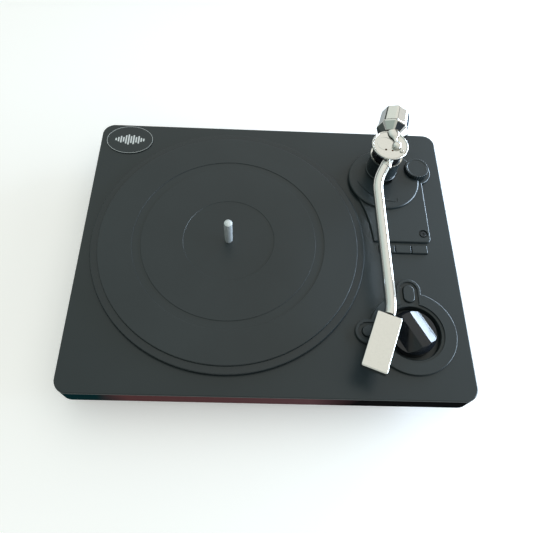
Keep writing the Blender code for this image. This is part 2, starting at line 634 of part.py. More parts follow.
def make_drive():
    """Motor, its rotor and the flat belt to the drive ring."""
    belt_low = WELL_FLOOR + 2.5 * MM
    inside, outside = GAP, GAP + BELT_T
    mesh = bmesh.new()
    loft(mesh, [belt_loop(outside, belt_low), belt_loop(outside, belt_low + BELT_W),
                belt_loop(inside, belt_low + BELT_W), belt_loop(inside, belt_low)], closed=True)
    make("drive_belt", mesh, RUBBER)

    gasket_t = 1.5 * MM
    motor_top = WELL_UNDER - 2.0 * GAP - gasket_t
    motor_low = TRAY_FLOOR + 1.2 * MM
    shaft_low = motor_top - 5.0 * MM
    mesh = bmesh.new()
    turned(mesh, [(0.0, motor_low), (MOTOR_R - 1.0 * MM, motor_low),
                  (MOTOR_R, motor_low + 1.0 * MM), (MOTOR_R, motor_top),
                  (SHAFT_R + GAP, motor_top), (SHAFT_R + GAP, shaft_low - GAP),
                  (0.0, shaft_low - GAP)], MEDIUM)
    motor = make("motor_body", mesh, STEEL, at=(MOTOR_X, MOTOR_Y, 0.0))

    def threads(cut):
        for x, y in motor_screw_places():
            rod(cut, SCREW_R + GAP, motor_top - 4.0 * MM, WELL_UNDER, SMALL, x, y)

    shape_with(motor, helper_solid("motor_threads", threads), "DIFFERENCE")

    mesh = bmesh.new()
    tube(mesh, 4.0 * MM, MOTOR_R, motor_top + GAP, motor_top + GAP + gasket_t, MEDIUM)
    gasket = make("motor_gasket", mesh, RUBBER, at=(MOTOR_X, MOTOR_Y, 0.0))
    shape_with(gasket, bpy.data.objects["motor_threads"], "DIFFERENCE")

    seat = WELL_FLOOR + GAP
    for name, (x, y) in zip(("motor_screw_front", "motor_screw_back"), motor_screw_places()):
        mesh = bmesh.new()
        turned(mesh, [(0.0, motor_top - 3.5 * MM), (SCREW_R, motor_top - 3.5 * MM),
                      (SCREW_R, seat), (SCREW_HEAD_R, seat), (SCREW_HEAD_R, seat + SCREW_HEAD_H),
                      (0.0, seat + SCREW_HEAD_H)], SMALL)
        make(name, mesh, STEEL, at=(x, y, 0.0))

    axis = axis_at("motor_axis", MOTOR_X, MOTOR_Y, 0.0)
    pulley_low = WELL_FLOOR + 2.0 * MM + GAP
    pulley_high = pulley_low + BELT_W + 0.6 * MM
    lip = 0.8 * MM
    mesh = bmesh.new()
    rod(mesh, SHAFT_R, shaft_low, pulley_high + 0.4 * MM, SMALL)
    make("motor_shaft", mesh, STEEL, axis)
    mesh = bmesh.new()
    tube(mesh, SHAFT_R + GAP, PULLEY_R, pulley_low - lip, pulley_high, MEDIUM)
    make("motor_pulley", mesh, BRASS, axis)


# ---- tonearm --------------------------------------------------------------
def make_arm_plate():
    """The raised plate beside the platter, with its base disc and screw."""
    low, high = TOP + GAP, TOP + GAP + PLATE_T
    edge_r = PLATTER_R + PLATE_ARC_GAP
    front = PLATTER_Y + PLATE_FRONT
    right = DISC_X + PLATE_RIGHT
    first = math.asin(PLATE_FRONT / edge_r)
    disc_angle = math.atan2(DISC_Y - PLATTER_Y, DISC_X - PLATTER_X)
    disc_far = math.hypot(DISC_X - PLATTER_X, DISC_Y - PLATTER_Y)
    hidden_r = DISC_R - 1.0 * MM
    spread = math.acos((edge_r ** 2 + disc_far ** 2 - hidden_r ** 2) / (2.0 * edge_r * disc_far))
    last = disc_angle - spread
    outline = arc(PLATTER_X, PLATTER_Y, edge_r, first, last, 12)
    meet = Vector(outline[-1])
    leave = math.atan2(meet.y - DISC_Y, meet.x - DISC_X)
    apart = math.hypot(DIAL_X - DISC_X, DIAL_Y - DISC_Y)
    facing = math.atan2(DIAL_Y - DISC_Y, DIAL_X - DISC_X)
    open_disc = math.acos((apart ** 2 + hidden_r ** 2 - DIAL_LOBE_R ** 2)
                          / (2.0 * apart * hidden_r))
    open_lobe = math.acos((apart ** 2 + DIAL_LOBE_R ** 2 - hidden_r ** 2)
                          / (2.0 * apart * DIAL_LOBE_R))
    outline += arc(DISC_X, DISC_Y, hidden_r, leave % (2.0 * math.pi), facing + open_disc, 24)[1:]
    side = math.acos((right - DIAL_X) / DIAL_LOBE_R)
    outline += arc(DIAL_X, DIAL_Y, DIAL_LOBE_R, facing + math.pi - open_lobe, -side, 16)[1:]
    outline += arc(right - PLATE_CORNER_R, front + PLATE_CORNER_R, PLATE_CORNER_R,
                   0.0, -math.pi / 2.0, 5)
    mesh = bmesh.new()
    slab(mesh, outline, low, high)
    plate = make("arm_plate", mesh, BLACK)

    def holes(cut):
        rod(cut, POST_TAIL_R + GAP, low - 1.0 * MM, high + 1.0 * MM, MEDIUM, PIVOT_X, PIVOT_Y)
        rod(cut, DIAL_SHAFT_R + GAP, low - 1.0 * MM, high + 1.0 * MM, SMALL, DIAL_X, DIAL_Y)
        turned(cut, [(0.0, low - 1.0 * MM), (SCREW_R + GAP, low - 1.0 * MM),
                     (SCREW_R + GAP, low + 0.7 * MM), (SCREW_HEAD_R + 1.3 * MM, low + 0.7 * MM),
                     (SCREW_HEAD_R + 1.3 * MM, high + 1.0 * MM), (0.0, high + 1.0 * MM)],
               MEDIUM, PLATE_SCREW_X, PLATE_SCREW_Y)

    shape_with(plate, helper_solid("plate_holes", holes), "DIFFERENCE")

    mesh = bmesh.new()
    disc_low = high + GAP
    disc_high = disc_low + DISC_T
    turned(mesh, [(0.0, disc_low), (DISC_R, disc_low), (DISC_R, disc_high - 0.5 * MM),
                  (DISC_R - 0.5 * MM, disc_high), (0.0, disc_high)], FINE, DISC_X, DISC_Y)
    disc = make("arm_base_disc", mesh, BLACK)

    def disc_cuts(cut):
        rod(cut, POST_TAIL_R + GAP, disc_low - 1.0 * MM, disc_high + 1.0 * MM, MEDIUM,
            PIVOT_X, PIVOT_Y)
        rod(cut, DIAL_R + RUN, disc_low - 1.0 * MM, disc_high + 1.0 * MM, MEDIUM,
            DIAL_X, DIAL_Y)

    shape_with(disc, helper_solid("disc_cuts", disc_cuts), "DIFFERENCE")

    seat = low + 0.7 * MM + GAP
    mesh = bmesh.new()
    turned(mesh, [(0.0, CEILING - 3.0 * MM), (SCREW_R, CEILING - 3.0 * MM), (SCREW_R, seat),
                  (SCREW_HEAD_R, seat), (SCREW_HEAD_R, seat + 0.9 * MM),
                  (0.0, seat + 0.9 * MM)], SMALL)
    make("plate_screw", mesh, DARK_METAL, at=(PLATE_SCREW_X, PLATE_SCREW_Y, 0.0))
    return disc_high


def make_arm_post(seat):
    """The fixed post: its tail is clamped under the deck by a nut, and it holds the bush."""
    base = seat + GAP
    top = TOP + POST_TOP
    bore = SWING_SPINDLE_R + RUN
    bush_r = SWING_SPINDLE_R + GAP + BUSH_WALL
    tail = TOP - POST_TAIL
    mesh = bmesh.new()
    turned(mesh, [(0.0, tail), (POST_TAIL_R, tail), (POST_TAIL_R, base),
                  (POST_R + 0.8 * MM, base), (POST_R + 0.8 * MM, base + 1.0 * MM),
                  (POST_R, base + 1.8 * MM), (POST_R, top), (bush_r + GAP, top),
                  (bush_r + GAP, top - BUSH_L - GAP), (bore, top - BUSH_L - GAP),
                  (bore, tail + 3.0 * MM), (0.0, tail + 3.0 * MM)], MEDIUM)
    make("arm_post", mesh, BLACK_PAINT, at=(PIVOT_X, PIVOT_Y, 0.0))

    mesh = bmesh.new()
    tube(mesh, SWING_SPINDLE_R + GAP, bush_r, top - BUSH_L, top, MEDIUM)
    make("arm_bearing", mesh, BRASS, at=(PIVOT_X, PIVOT_Y, 0.0))

    mesh = bmesh.new()
    low = top + GAP
    turned(mesh, [(TRIM_R - 0.4 * MM, low), (TRIM_R, low + 0.4 * MM),
                  (TRIM_R, low + TRIM_T - 0.4 * MM), (TRIM_R - 0.4 * MM, low + TRIM_T),
                  (TRIM_R - TRIM_W, low + TRIM_T), (TRIM_R - TRIM_W, low)], MEDIUM)
    make("arm_trim_ring", mesh, CHROME, at=(PIVOT_X, PIVOT_Y, 0.0))

    mesh = bmesh.new()
    nut_high = CEILING - GAP
    loft(mesh, [[Vector((p.x, p.y, z)) for p in nut_ring(radius, hexed)]
                for radius, z, hexed in ((NUT_R, nut_high - NUT_T, True), (NUT_R, nut_high, True),
                                         (POST_TAIL_R + GAP, nut_high, False),
                                         (POST_TAIL_R + GAP, nut_high - NUT_T, False))],
         closed=True)
    make("arm_post_nut", mesh, STEEL, at=(PIVOT_X, PIVOT_Y, 0.0), smooth=False)


def nut_ring(radius, hexed):
    """24 points round a circle, or round a hexagon whose corners are at the radius."""
    points = []
    for i in range(24):
        angle = i * math.pi / 12.0
        reach = radius
        if hexed:
            off = (angle % (math.pi / 3.0)) - math.pi / 6.0
            reach = radius * math.cos(math.pi / 6.0) / math.cos(off)
        points.append(Vector((reach * math.cos(angle), reach * math.sin(angle), 0.0)))
    return points


def make_yoke(swing):
    """The turning fork: its spindle stands in the post and its ears carry the pin."""
    base = POST_TOP - PIVOT_UP + 0.4 * MM          # heights from the pitch axis
    floor = base + YOKE_T
    spindle_low = -PIVOT_UP - POST_TAIL + 4.0 * MM
    ear_in = BLOCK_W / 2.0 + GAP + 0.1 * MM
    mesh = bmesh.new()
    turned(mesh, [(0.0, spindle_low), (SWING_SPINDLE_R, spindle_low), (SWING_SPINDLE_R, base),
                  (YOKE_R, base), (YOKE_R, floor), (0.0, floor)], MEDIUM)
    yoke = make("swing_yoke", mesh, DARK_METAL, swing)

    def ears(grown):
        for side in (-1, 1):
            a, b = sorted((side * ear_in, side * (ear_in + EAR_T)))
            block(grown, (a, -EAR_W / 2.0, floor - YOKE_T / 2.0), (b, EAR_W / 2.0, 2.7 * MM))

    def pin_hole(cut):
        rod(cut, PIN_R + GAP, -20.0 * MM, 20.0 * MM, SMALL)
        turn_mesh(cut, Matrix.Rotation(math.pi / 2.0, 4, "Y"))

    shape_with(yoke, helper_solid("yoke_ears", ears, swing), "UNION")
    shape_with(yoke, helper_solid("yoke_pin_hole", pin_hole, swing), "DIFFERENCE")
    return ear_in + EAR_T


def tube_line():
    """The tonearm tube's centre line from the pivot block to the headshell.

    Two cubic curves leave along the bearing block and meet on the straight run.
    """
    out = Vector((-0.42, -0.91, 0.0)).normalized()
    start = Vector((-1.0 * MM, -BLOCK_L / 2.0 - GAP - TUBE_R * abs(out.x), 0.0))
    bend = Vector((-13.4 * MM, -46.0 * MM, 0.0))
    turn = Vector((-11.6 * MM, -142.0 * MM, 0.0))
    aim = Vector((-math.sin(SHELL_TURN), -math.cos(SHELL_TURN), 0.0))
    end = shell_back()
    ahead = Vector((0.0, -1.0, 0.0))

    def cubic(a, b, c, d, steps):
        made = []
        for i in range(steps + 1):
            t = i / steps
            made.append(a * (1 - t) ** 3 + b * 3 * t * (1 - t) ** 2
                        + c * 3 * t * t * (1 - t) + d * t ** 3)
        return made

    first = cubic(start, start + out * 14.0 * MM, bend - ahead * 14.0 * MM, bend, 8)
    last = cubic(turn, turn + ahead * 10.0 * MM, end - aim * 6.0 * MM, end, 6)
    line = first + last
    run = abs(end.y - start.y)
    return [Vector((p.x, p.y, -TUBE_LOW - (TUBE_FALL - TUBE_LOW) * abs(p.y - start.y) / run))
            for p in line]


def shell_back():
    """Middle of the headshell's back face, from the pivot."""
    return Vector((-13.45 * MM, -163.3 * MM, 0.0))


def shell_matrix():
    """Headshell's own frame: -Y forward, its origin at the middle of its back face."""
    back = shell_back()
    return (Matrix.Translation((back.x, back.y, -TUBE_FALL))
            @ Matrix.Rotation(-SHELL_TURN, 4, "Z"))


def sweep(mesh, line, radius, sides):
    """A round bar along a line that stays near the horizontal."""
    loops = []
    for i, point in enumerate(line):
        before, after = line[max(i - 1, 0)], line[min(i + 1, len(line) - 1)]
        ahead = (after - before).normalized()
        side = ahead.cross(Vector((0.0, 0.0, 1.0))).normalized()
        up = side.cross(ahead)
        loops.append([point + radius * (math.cos(2 * math.pi * k / sides) * side
                                        + math.sin(2 * math.pi * k / sides) * up)
                      for k in range(sides)])
    loft(mesh, loops)


def make_arm(pitch, pin_reach):
    """What tips together: pin, block, cap, tube, headshell, cartridge and rear stub."""
    across = Matrix.Rotation(math.pi / 2.0, 4, "Y")
    mesh = bmesh.new()
    rod(mesh, PIN_R, -pin_reach, pin_reach, SMALL)
    turn_mesh(mesh, across)
    make("gimbal_pin", mesh, STEEL, pitch)

    mesh = bmesh.new()
    block(mesh, (-BLOCK_W / 2.0, -BLOCK_L / 2.0, -BLOCK_LOW),
          (BLOCK_W / 2.0, BLOCK_L / 2.0, BLOCK_HIGH))
    body = make("arm_block", mesh, DARK_METAL, pitch, smooth=False)

    def bore(cut):
        rod(cut, PIN_R + GAP, -BLOCK_W, BLOCK_W, SMALL)
        turn_mesh(cut, across)

    shape_with(body, helper_solid("block_bore", bore, pitch), "DIFFERENCE")

    cap_low = BLOCK_HIGH + GAP
    cap_high = cap_low + CAP_T
    inner = CAP_R - CAP_RIM_W
    mesh = bmesh.new()
    turned(mesh, [(0.0, cap_low), (CAP_R - 0.5 * MM, cap_low), (CAP_R, cap_low + 0.5 * MM),
                  (CAP_R, cap_high), (CAP_R - 0.5 * MM, cap_high + CAP_RIM_H),
                  (inner, cap_high + CAP_RIM_H), (inner - 0.5 * MM, cap_high),
                  (0.0, cap_high)], COARSE)
    make("pivot_cap", mesh, CHROME, pitch)

    mesh = bmesh.new()
    dome = [(0.0, cap_high + GAP), (HUB_DOME_R, cap_high + GAP)]
    dome += [(HUB_DOME_R * math.cos(a), cap_high + GAP + 1.0 * MM + 2.4 * MM * math.sin(a))
             for a in (0.0, 0.5, 1.0)]
    turned(mesh, dome + [(0.0, cap_high + GAP + 3.4 * MM)], 16, *HUB_DOME_AT)
    make("cap_nut", mesh, CHROME, pitch)

    mesh = bmesh.new()
    sweep(mesh, tube_line(), TUBE_R, 16)
    make("arm_tube", mesh, CHROME, pitch)

    place = shell_matrix()
    mesh = bmesh.new()
    round_r = 1.2 * MM
    half = SHELL_T / 2.0
    loft(mesh, [rounded(SHELL_W - 2 * inset, SHELL_L - 2 * inset, round_r, z,
                        0.0, -SHELL_L / 2.0 - SHELL_JOINT, 3)
                for inset, z in ((0.5 * MM, -half), (0.0, -half + 0.5 * MM),
                                 (0.0, half - 0.5 * MM), (0.5 * MM, half))])
    turn_mesh(mesh, place)
    make("headshell", mesh, CHROME, pitch)

    under = -half - GAP
    middle = -STYLUS_FROM_BACK + 2.0 * MM
    mesh = bmesh.new()
    loft(mesh, [rounded(CARTRIDGE_W - 2 * inset, CARTRIDGE_L - 2 * inset, 1.0 * MM, z,
                        0.0, middle, 2)
                for inset, z in ((1.5 * MM, under - CARTRIDGE_H), (0.0, under - CARTRIDGE_H / 2.0),
                                 (0.0, under))])
    turn_mesh(mesh, place)
    make("cartridge", mesh, BLACK, pitch)

    tip = MAT_TOP + STYLUS_CLEAR - TOP - PIVOT_UP + TUBE_FALL
    grip_low = under - CARTRIDGE_H - GAP
    grip = [(-3.0, -6.0), (3.0, -6.0), (3.0, 5.0), (-3.0, 5.0)]
    mesh = bmesh.new()
    loft(mesh, [[Vector((x * MM, y * MM - STYLUS_FROM_BACK + 2.0 * MM, grip_low)) for x, y in grip],
                [Vector((x * 0.8 * MM, y * 0.8 * MM - STYLUS_FROM_BACK + 2.0 * MM,
                         (grip_low + 2.0 * tip) / 3.0)) for x, y in grip],
                [Vector((x * 0.15 * MM, y * 0.15 * MM - STYLUS_FROM_BACK, tip))
                 for x, y in grip]])
    turn_mesh(mesh, place)
    make("stylus", mesh, RED_PLASTIC, pitch, smooth=False)

    mesh = bmesh.new()
    rod(mesh, STUB_R, BLOCK_L / 2.0 + GAP + 1.4 * MM, WEIGHT_START + WEIGHT_L - STUB_SHORT, 20)
    turn_mesh(mesh, stub_matrix())
    make("rear_stub", mesh, STEEL, pitch)


def stub_matrix():
    """Turns +Z to the stub's direction, behind the pivot."""
    return Matrix.Rotation(-STUB_TURN, 4, "Z") @ to_back()


def eight_sided(radius, z):
    """16 points round an octagon with small flats for its corners."""
    points = []
    for i in range(8):
        middle = (i + 0.5) * math.pi / 4.0
        for side in (-1, 1):
            angle = middle + side * math.radians(18.0)
            points.append(Vector((radius * math.cos(angle), radius * math.sin(angle), z)))
    return points


def make_weight(pitch):
    """The counterweight: eight-sided, coned towards the pivot and bored for the stub."""
    start = WEIGHT_START
    wide = start + WEIGHT_CONE
    end = start + WEIGHT_L
    bore = STUB_R + GAP
    mesh = bmesh.new()
    turn = -math.radians(4.5)
    spokes = [i * math.pi / 8.0 + math.pi / 16.0 for i in range(16)]
    round_bore = [Vector((bore * math.cos(a + turn), bore * math.sin(a + turn), 0.0))
                  for a in spokes]
    loft(mesh, [[Vector((p.x, p.y, end - WEIGHT_CLOSED)) for p in round_bore],
                [Vector((p.x, p.y, start)) for p in round_bore],
                eight_sided(WEIGHT_LIP_R - 0.8 * MM, start),
                eight_sided(WEIGHT_LIP_R, start + 0.8 * MM),
                eight_sided(WEIGHT_R, wide), eight_sided(WEIGHT_R - 0.2 * MM, wide + 2.0 * MM),
                eight_sided(WEIGHT_BACK_R + 0.6 * MM, wide + 3.0 * MM),
                eight_sided(WEIGHT_BACK_R, end - 2.0 * MM),
                eight_sided(WEIGHT_BACK_R - 2.0 * MM, end)])
    turn_mesh(mesh, stub_matrix())
    make("counterweight", mesh, CHROME, pitch)


# ---- controls -------------------------------------------------------------
def make_dial():
    """The small ribbed dial on the plate, with the clip on its shaft under the deck."""
    axis = axis_at("dial_axis", DIAL_X, DIAL_Y, 0.0)
    low = TOP + 2.0 * GAP + PLATE_T
    clip_z = CEILING - GAP - 1.0 * MM
    ribs = 30
    mesh = bmesh.new()
    outline = []
    for i in range(2 * ribs):
        angle = i * math.pi / ribs
        reach = DIAL_R if i % 2 == 0 else DIAL_R - 0.5 * MM
        outline.append((reach * math.cos(angle), reach * math.sin(angle)))
    slab(mesh, outline, low, low + DIAL_T)
    dial = make("antiskate_dial", mesh, BLACK_GLOSS, axis, smooth=False)

    def shaft(grown):
        rod(grown, DIAL_SHAFT_R, CEILING - 4.0 * MM, low + DIAL_T / 2.0, SMALL)

    shape_with(dial, helper_solid("dial_shaft", shaft, axis), "UNION")

    mesh = bmesh.new()
    tube(mesh, DIAL_SHAFT_R + GAP, DIAL_SHAFT_R + 2.5 * MM, clip_z, clip_z + 1.0 * MM, SMALL)
    make("dial_clip", mesh, STEEL, axis)


def make_keys():
    """Three speed keys: a cap through the deck, a lip under it and a plunger."""
    names = ("speed_key_33", "speed_key_45", "speed_key_78")
    for name, x in zip(names, KEY_XS):
        mesh = bmesh.new()
        lip_high = CEILING - GAP
        lip_low = lip_high - 1.3 * MM
        half_w, half_d = KEY_W / 2.0, KEY_D / 2.0
        bevel = 0.4 * MM
        cap = [[(-half_w + i, -half_d + i), (half_w - i, -half_d + i),
                (half_w - i, half_d - i), (-half_w + i, half_d - i)] for i in (0.0, bevel)]
        wide = [(px, py + math.copysign(FLANGE_LIP, py)) for px, py in cap[0]]
        stem = [(math.copysign(1.5 * MM, px), math.copysign(1.5 * MM, py)) for px, py in cap[0]]
        rows = ((stem, key_stem_low()), (stem, lip_low), (wide, lip_low), (wide, lip_high),
                (cap[0], lip_high), (cap[0], TOP + KEY_UP - bevel), (cap[1], TOP + KEY_UP))
        loft(mesh, [[Vector((px, py, z)) for px, py in row] for row, z in rows])
        make(name, mesh, BLACK, at=(x, KEY_Y, 0.0), smooth=False)


def key_stem_low():
    """Lower end of every key and button plunger."""
    return CEILING - 4.0 * MM


def switch_high(travel):
    """Top of a switch's plunger, just under a plunger pressed fully down."""
    return key_stem_low() - travel - GAP


def make_button(name, place, turn, material):
    """A pill-shaped push button, built with its length along Y and then turned."""
    lip_high = CEILING - GAP
    lip_low = lip_high - 1.3 * MM
    bevel = 0.7 * MM
    stem = 3.0 * MM
    mesh = bmesh.new()
    loft(mesh, [pill(stem, stem + 0.2 * MM, key_stem_low()), pill(stem, stem + 0.2 * MM, lip_low),
                pill(BUTTON_W + 2 * FLANGE_LIP, BUTTON_L + 2 * FLANGE_LIP, lip_low),
                pill(BUTTON_W + 2 * FLANGE_LIP, BUTTON_L + 2 * FLANGE_LIP, lip_high),
                pill(BUTTON_W, BUTTON_L, lip_high),
                pill(BUTTON_W, BUTTON_L, TOP + BUTTON_UP - bevel),
                pill(BUTTON_W - 2 * bevel, BUTTON_L - 2 * bevel, TOP + BUTTON_UP)])
    turn_mesh(mesh, Matrix.Rotation(turn, 4, "Z"))
    make(name, mesh, material, at=(place[0], place[1], 0.0))


def make_bezel():
    """The raised surround: a round rim with two lobes, and the knob's cup below it."""
    low, high = TOP + GAP, TOP + BEZEL_UP
    reach = LOBE_REACH - LOBE_HALF
    mesh = bmesh.new()
    slab(mesh, lobed_outline(BEZEL_R, LOBE_HALF, reach), low, high)
    bezel = make("control_bezel", mesh, BLACK)

    def cup(grown):
        rod(grown, CUP_R + CUP_WALL, TOP - CUP_DEPTH - CUP_WALL, TOP + 1.0 * MM, COARSE,
            KNOB_X, KNOB_Y)

    def recess(cut):
        slab(cut, lobed_outline(BEZEL_INNER_R, LOBE_HALF - LOBE_RIM, reach),
             high - BEZEL_RECESS, high + 1.0 * MM)

    def holes(cut):
        floor = TOP - CUP_DEPTH
        below = floor - CUP_WALL - 1.0 * MM
        turned(cut, [(0.0, below), (POT_BUSH_R + GAP, below), (POT_BUSH_R + GAP, floor),
                     (CUP_R, floor), (CUP_R, high + 1.0 * MM), (0.0, high + 1.0 * MM)],
               COARSE, KNOB_X, KNOB_Y)
        slab(cut, pill(BUTTON_W + 2 * GAP, BUTTON_L + 2 * GAP, 0.0, *TOP_BUTTON),
             low - 1.0 * MM, high + 1.0 * MM)
        slab(cut, [(LEFT_BUTTON[0] + p.y, LEFT_BUTTON[1] + p.x)
                   for p in reversed(pill(BUTTON_W + 2 * GAP, BUTTON_L + 2 * GAP, 0.0))],
             low - 1.0 * MM, high + 1.0 * MM)

    shape_with(bezel, helper_solid("bezel_cup", cup), "UNION")
    shape_with(bezel, helper_solid("bezel_recess", recess), "DIFFERENCE")
    shape_with(bezel, helper_solid("bezel_holes", holes), "DIFFERENCE")


def lobed_outline(radius, half, reach):
    """A circle with one lobe towards +Y and one towards -X, round the knob's axis."""
    side = math.asin(half / radius)
    points = arc(KNOB_X, KNOB_Y, radius, side - math.pi, math.pi / 2.0 - side, 32)
    points += arc(KNOB_X, KNOB_Y + reach, half, 0.0, math.pi, 8)
    points += arc(KNOB_X, KNOB_Y, radius, math.pi / 2.0 + side, math.pi - side, 6)
    points += arc(KNOB_X - reach, KNOB_Y, half, math.pi / 2.0, 1.5 * math.pi, 8)
    return points


def make_knob():
    """The big knob with its grip bar, on the potentiometer's shaft."""
    axis = axis_at("knob_axis", KNOB_X, KNOB_Y, 0.0)
    low = TOP - CUP_DEPTH + RUN
    top = TOP + KNOB_UP
    shaft_high = TOP + KNOB_SKIRT_UP
    under = low + 3.0 * MM
    mesh = bmesh.new()
    turned(mesh, [(0.0, shaft_high + GAP), (POT_SHAFT_R + GAP, shaft_high + GAP),
                  (POT_SHAFT_R + GAP, under), (POT_BUSH_R + 3.0 * MM, under),
                  (POT_BUSH_R + 3.0 * MM, low), (KNOB_R, low),
                  (KNOB_R, TOP + KNOB_SKIRT_UP), (KNOB_TOP_R, top - 0.5 * MM),
                  (KNOB_TOP_R - 0.5 * MM, top), (0.0, top)], COARSE)
    knob = make("volume_knob", mesh, BLACK_GLOSS, axis)

    def facets(cut):
        for side in (-1, 1):
            wedge = [(KNOB_BAR_HALF - 1.5 * (KNOB_FACET_OUT - KNOB_BAR_HALF) / 7.0, top + 1.0 * MM),
                     (KNOB_FACET_OUT, TOP + KNOB_SKIRT_UP), (2 * KNOB_R, TOP + KNOB_SKIRT_UP),
                     (2 * KNOB_R, top + 1.0 * MM)]
            if side < 0:
                wedge = [(-across, z) for across, z in reversed(wedge)]
            loft(cut, [[Vector((along, across, z)) for across, z in wedge]
                       for along in (-2 * KNOB_R, 2 * KNOB_R)])
        turn_mesh(cut, Matrix.Rotation(KNOB_TURN, 4, "Z"))

    shape_with(knob, helper_solid("knob_facets", facets, axis), "DIFFERENCE")

    mesh = bmesh.new()
    rod(mesh, POT_SHAFT_R, POT_UNDER - 4.0 * MM, shaft_high, 20)
    make("pot_shaft", mesh, STEEL, axis)


def make_electronics():
    """Potentiometer, boards with their switches, and the sockets in the back."""
    mesh = bmesh.new()
    bush_high = TOP - CUP_DEPTH + 1.0 * MM
    bore = POT_SHAFT_R + GAP
    turned(mesh, [(0.0, BOARD_TOP + GAP), (POT_R, BOARD_TOP + GAP), (POT_R, POT_UNDER),
                  (POT_BUSH_R, POT_UNDER), (POT_BUSH_R, bush_high), (bore, bush_high),
                  (bore, POT_UNDER - 4.0 * MM - GAP), (0.0, POT_UNDER - 4.0 * MM - GAP)],
           MEDIUM)
    make("volume_pot", mesh, DARK_METAL, at=(KNOB_X, KNOB_Y, 0.0))

    mesh = bmesh.new()
    left, right, front, back = CONTROL_BOARD
    block(mesh, (left, front, BOARD_TOP - BOARD_T), (right, back, BOARD_TOP))
    board = make("control_board", mesh, BOARD_GREEN, smooth=False)

    mesh = bmesh.new()
    block(mesh, (KEY_MIDDLE_X - BANK_HALF, KEY_Y - BANK_D / 2.0, BOARD_TOP - BOARD_T),
          (KEY_MIDDLE_X + BANK_HALF, KEY_Y + BANK_D / 2.0, BOARD_TOP))
    bank = make("speed_switch_bank", mesh, BOARD_GREEN, smooth=False)

    def switch(grown, x, y, travel):
        body_high = switch_high(travel) - 1.6 * MM
        loft(grown, [rounded(2 * size, 2 * size, 0.5 * MM, z, x, y, 2)
                     for size, z in ((SWITCH_HALF, BOARD_TOP - BOARD_T / 2.0),
                                     (SWITCH_HALF, body_high), (PLUNGER_HALF, body_high),
                                     (PLUNGER_HALF, switch_high(travel)))])

    def key_switches(grown):
        for x in KEY_XS:
            switch(grown, x, KEY_Y, KEY_TRAVEL)

    def button_switches(grown):
        for x, y in (TOP_BUTTON, LEFT_BUTTON):
            switch(grown, x, y, BUTTON_TRAVEL)

    def bank_holes(cut):
        for x, y in BANK_POSTS:
            rod(cut, STAKE_R + GAP, BOARD_TOP - 5.0 * MM, BOARD_TOP + 5.0 * MM, SMALL, x, y)

    def board_holes(cut):
        for x, y in CONTROL_POSTS:
            rod(cut, STAKE_R + GAP, BOARD_TOP - 5.0 * MM, BOARD_TOP + 5.0 * MM, SMALL, x, y)

    shape_with(board, helper_solid("control_board_switches", button_switches), "UNION")
    shape_with(board, helper_solid("control_board_holes", board_holes), "DIFFERENCE")
    shape_with(bank, helper_solid("bank_switches", key_switches), "UNION")
    shape_with(bank, helper_solid("bank_holes", bank_holes), "DIFFERENCE")

    mesh = bmesh.new()
    block(mesh, (MAIN_BOARD_X - MAIN_BOARD_W / 2.0, MAIN_BOARD_Y - MAIN_BOARD_D / 2.0,
                 MAIN_BOARD_Z),
          (MAIN_BOARD_X + MAIN_BOARD_W / 2.0, MAIN_BOARD_Y + MAIN_BOARD_D / 2.0,
           MAIN_BOARD_Z + BOARD_T))
    main = make("main_board", mesh, BOARD_GREEN, smooth=False)

    def parts(grown):
        top = MAIN_BOARD_Z + BOARD_T / 2.0
        block(grown, (MAIN_BOARD_X - 12.0 * MM, MAIN_BOARD_Y - 8.0 * MM, top),
              (MAIN_BOARD_X + 4.0 * MM, MAIN_BOARD_Y + 4.0 * MM, top + 3.0 * MM))
        for step in range(3):
            rod(grown, 3.0 * MM, top, top + 6.0 * MM, SMALL,
                MAIN_BOARD_X + 14.0 * MM + step * 7.0 * MM, MAIN_BOARD_Y + 8.0 * MM)

    def main_holes(cut):
        for x, y in MAIN_POSTS:
            rod(cut, STAKE_R + GAP, MAIN_BOARD_Z - 1.0 * MM, MAIN_BOARD_Z + 5.0 * MM, SMALL, x, y)

    shape_with(main, helper_solid("main_board_parts", parts), "UNION")
    shape_with(main, helper_solid("main_board_holes", main_holes), "DIFFERENCE")

    face = BACK - 0.2 * MM
    mesh = bmesh.new()
    half = JACK_SIZE / 2.0
    block(mesh, (-half, -half, -JACK_DEPTH), (half, half, 0.0))
    turn_mesh(mesh, to_back())
    jack = make("dc_jack", mesh, BLACK, at=(JACK_X, face, SOCKET_Z), smooth=False)
    jack_axis = axis_at("jack_mouth", JACK_X, face, SOCKET_Z)

    def mouth(cut):
        tube(cut, 1.0 * MM, 2.9 * MM, -9.0 * MM, 1.0 * MM, SMALL)
        turn_mesh(cut, to_back())

    shape_with(jack, helper_solid("jack_bore", mouth, jack_axis), "DIFFERENCE")

    names = ("phono_socket_left", "phono_socket_right")
    for name, x, colour in zip(names, SOCKET_XS, (WHITE_PLASTIC, RED_PLASTIC)):
        mesh = bmesh.new()
        floor = -8.0 * MM
        turned(mesh, [(0.0, -SOCKET_DEPTH), (SOCKET_R, -SOCKET_DEPTH), (SOCKET_R, 0.0),
                      (SOCKET_R - 1.0 * MM, 0.0), (SOCKET_R - 1.0 * MM, floor),
                      (4.1 * MM, floor), (4.1 * MM, 0.0), (1.7 * MM, 0.0), (1.7 * MM, floor),
                      (0.0, floor)], MEDIUM)
        turn_mesh(mesh, to_back())
        make(name, mesh, colour, at=(x, face, SOCKET_Z))


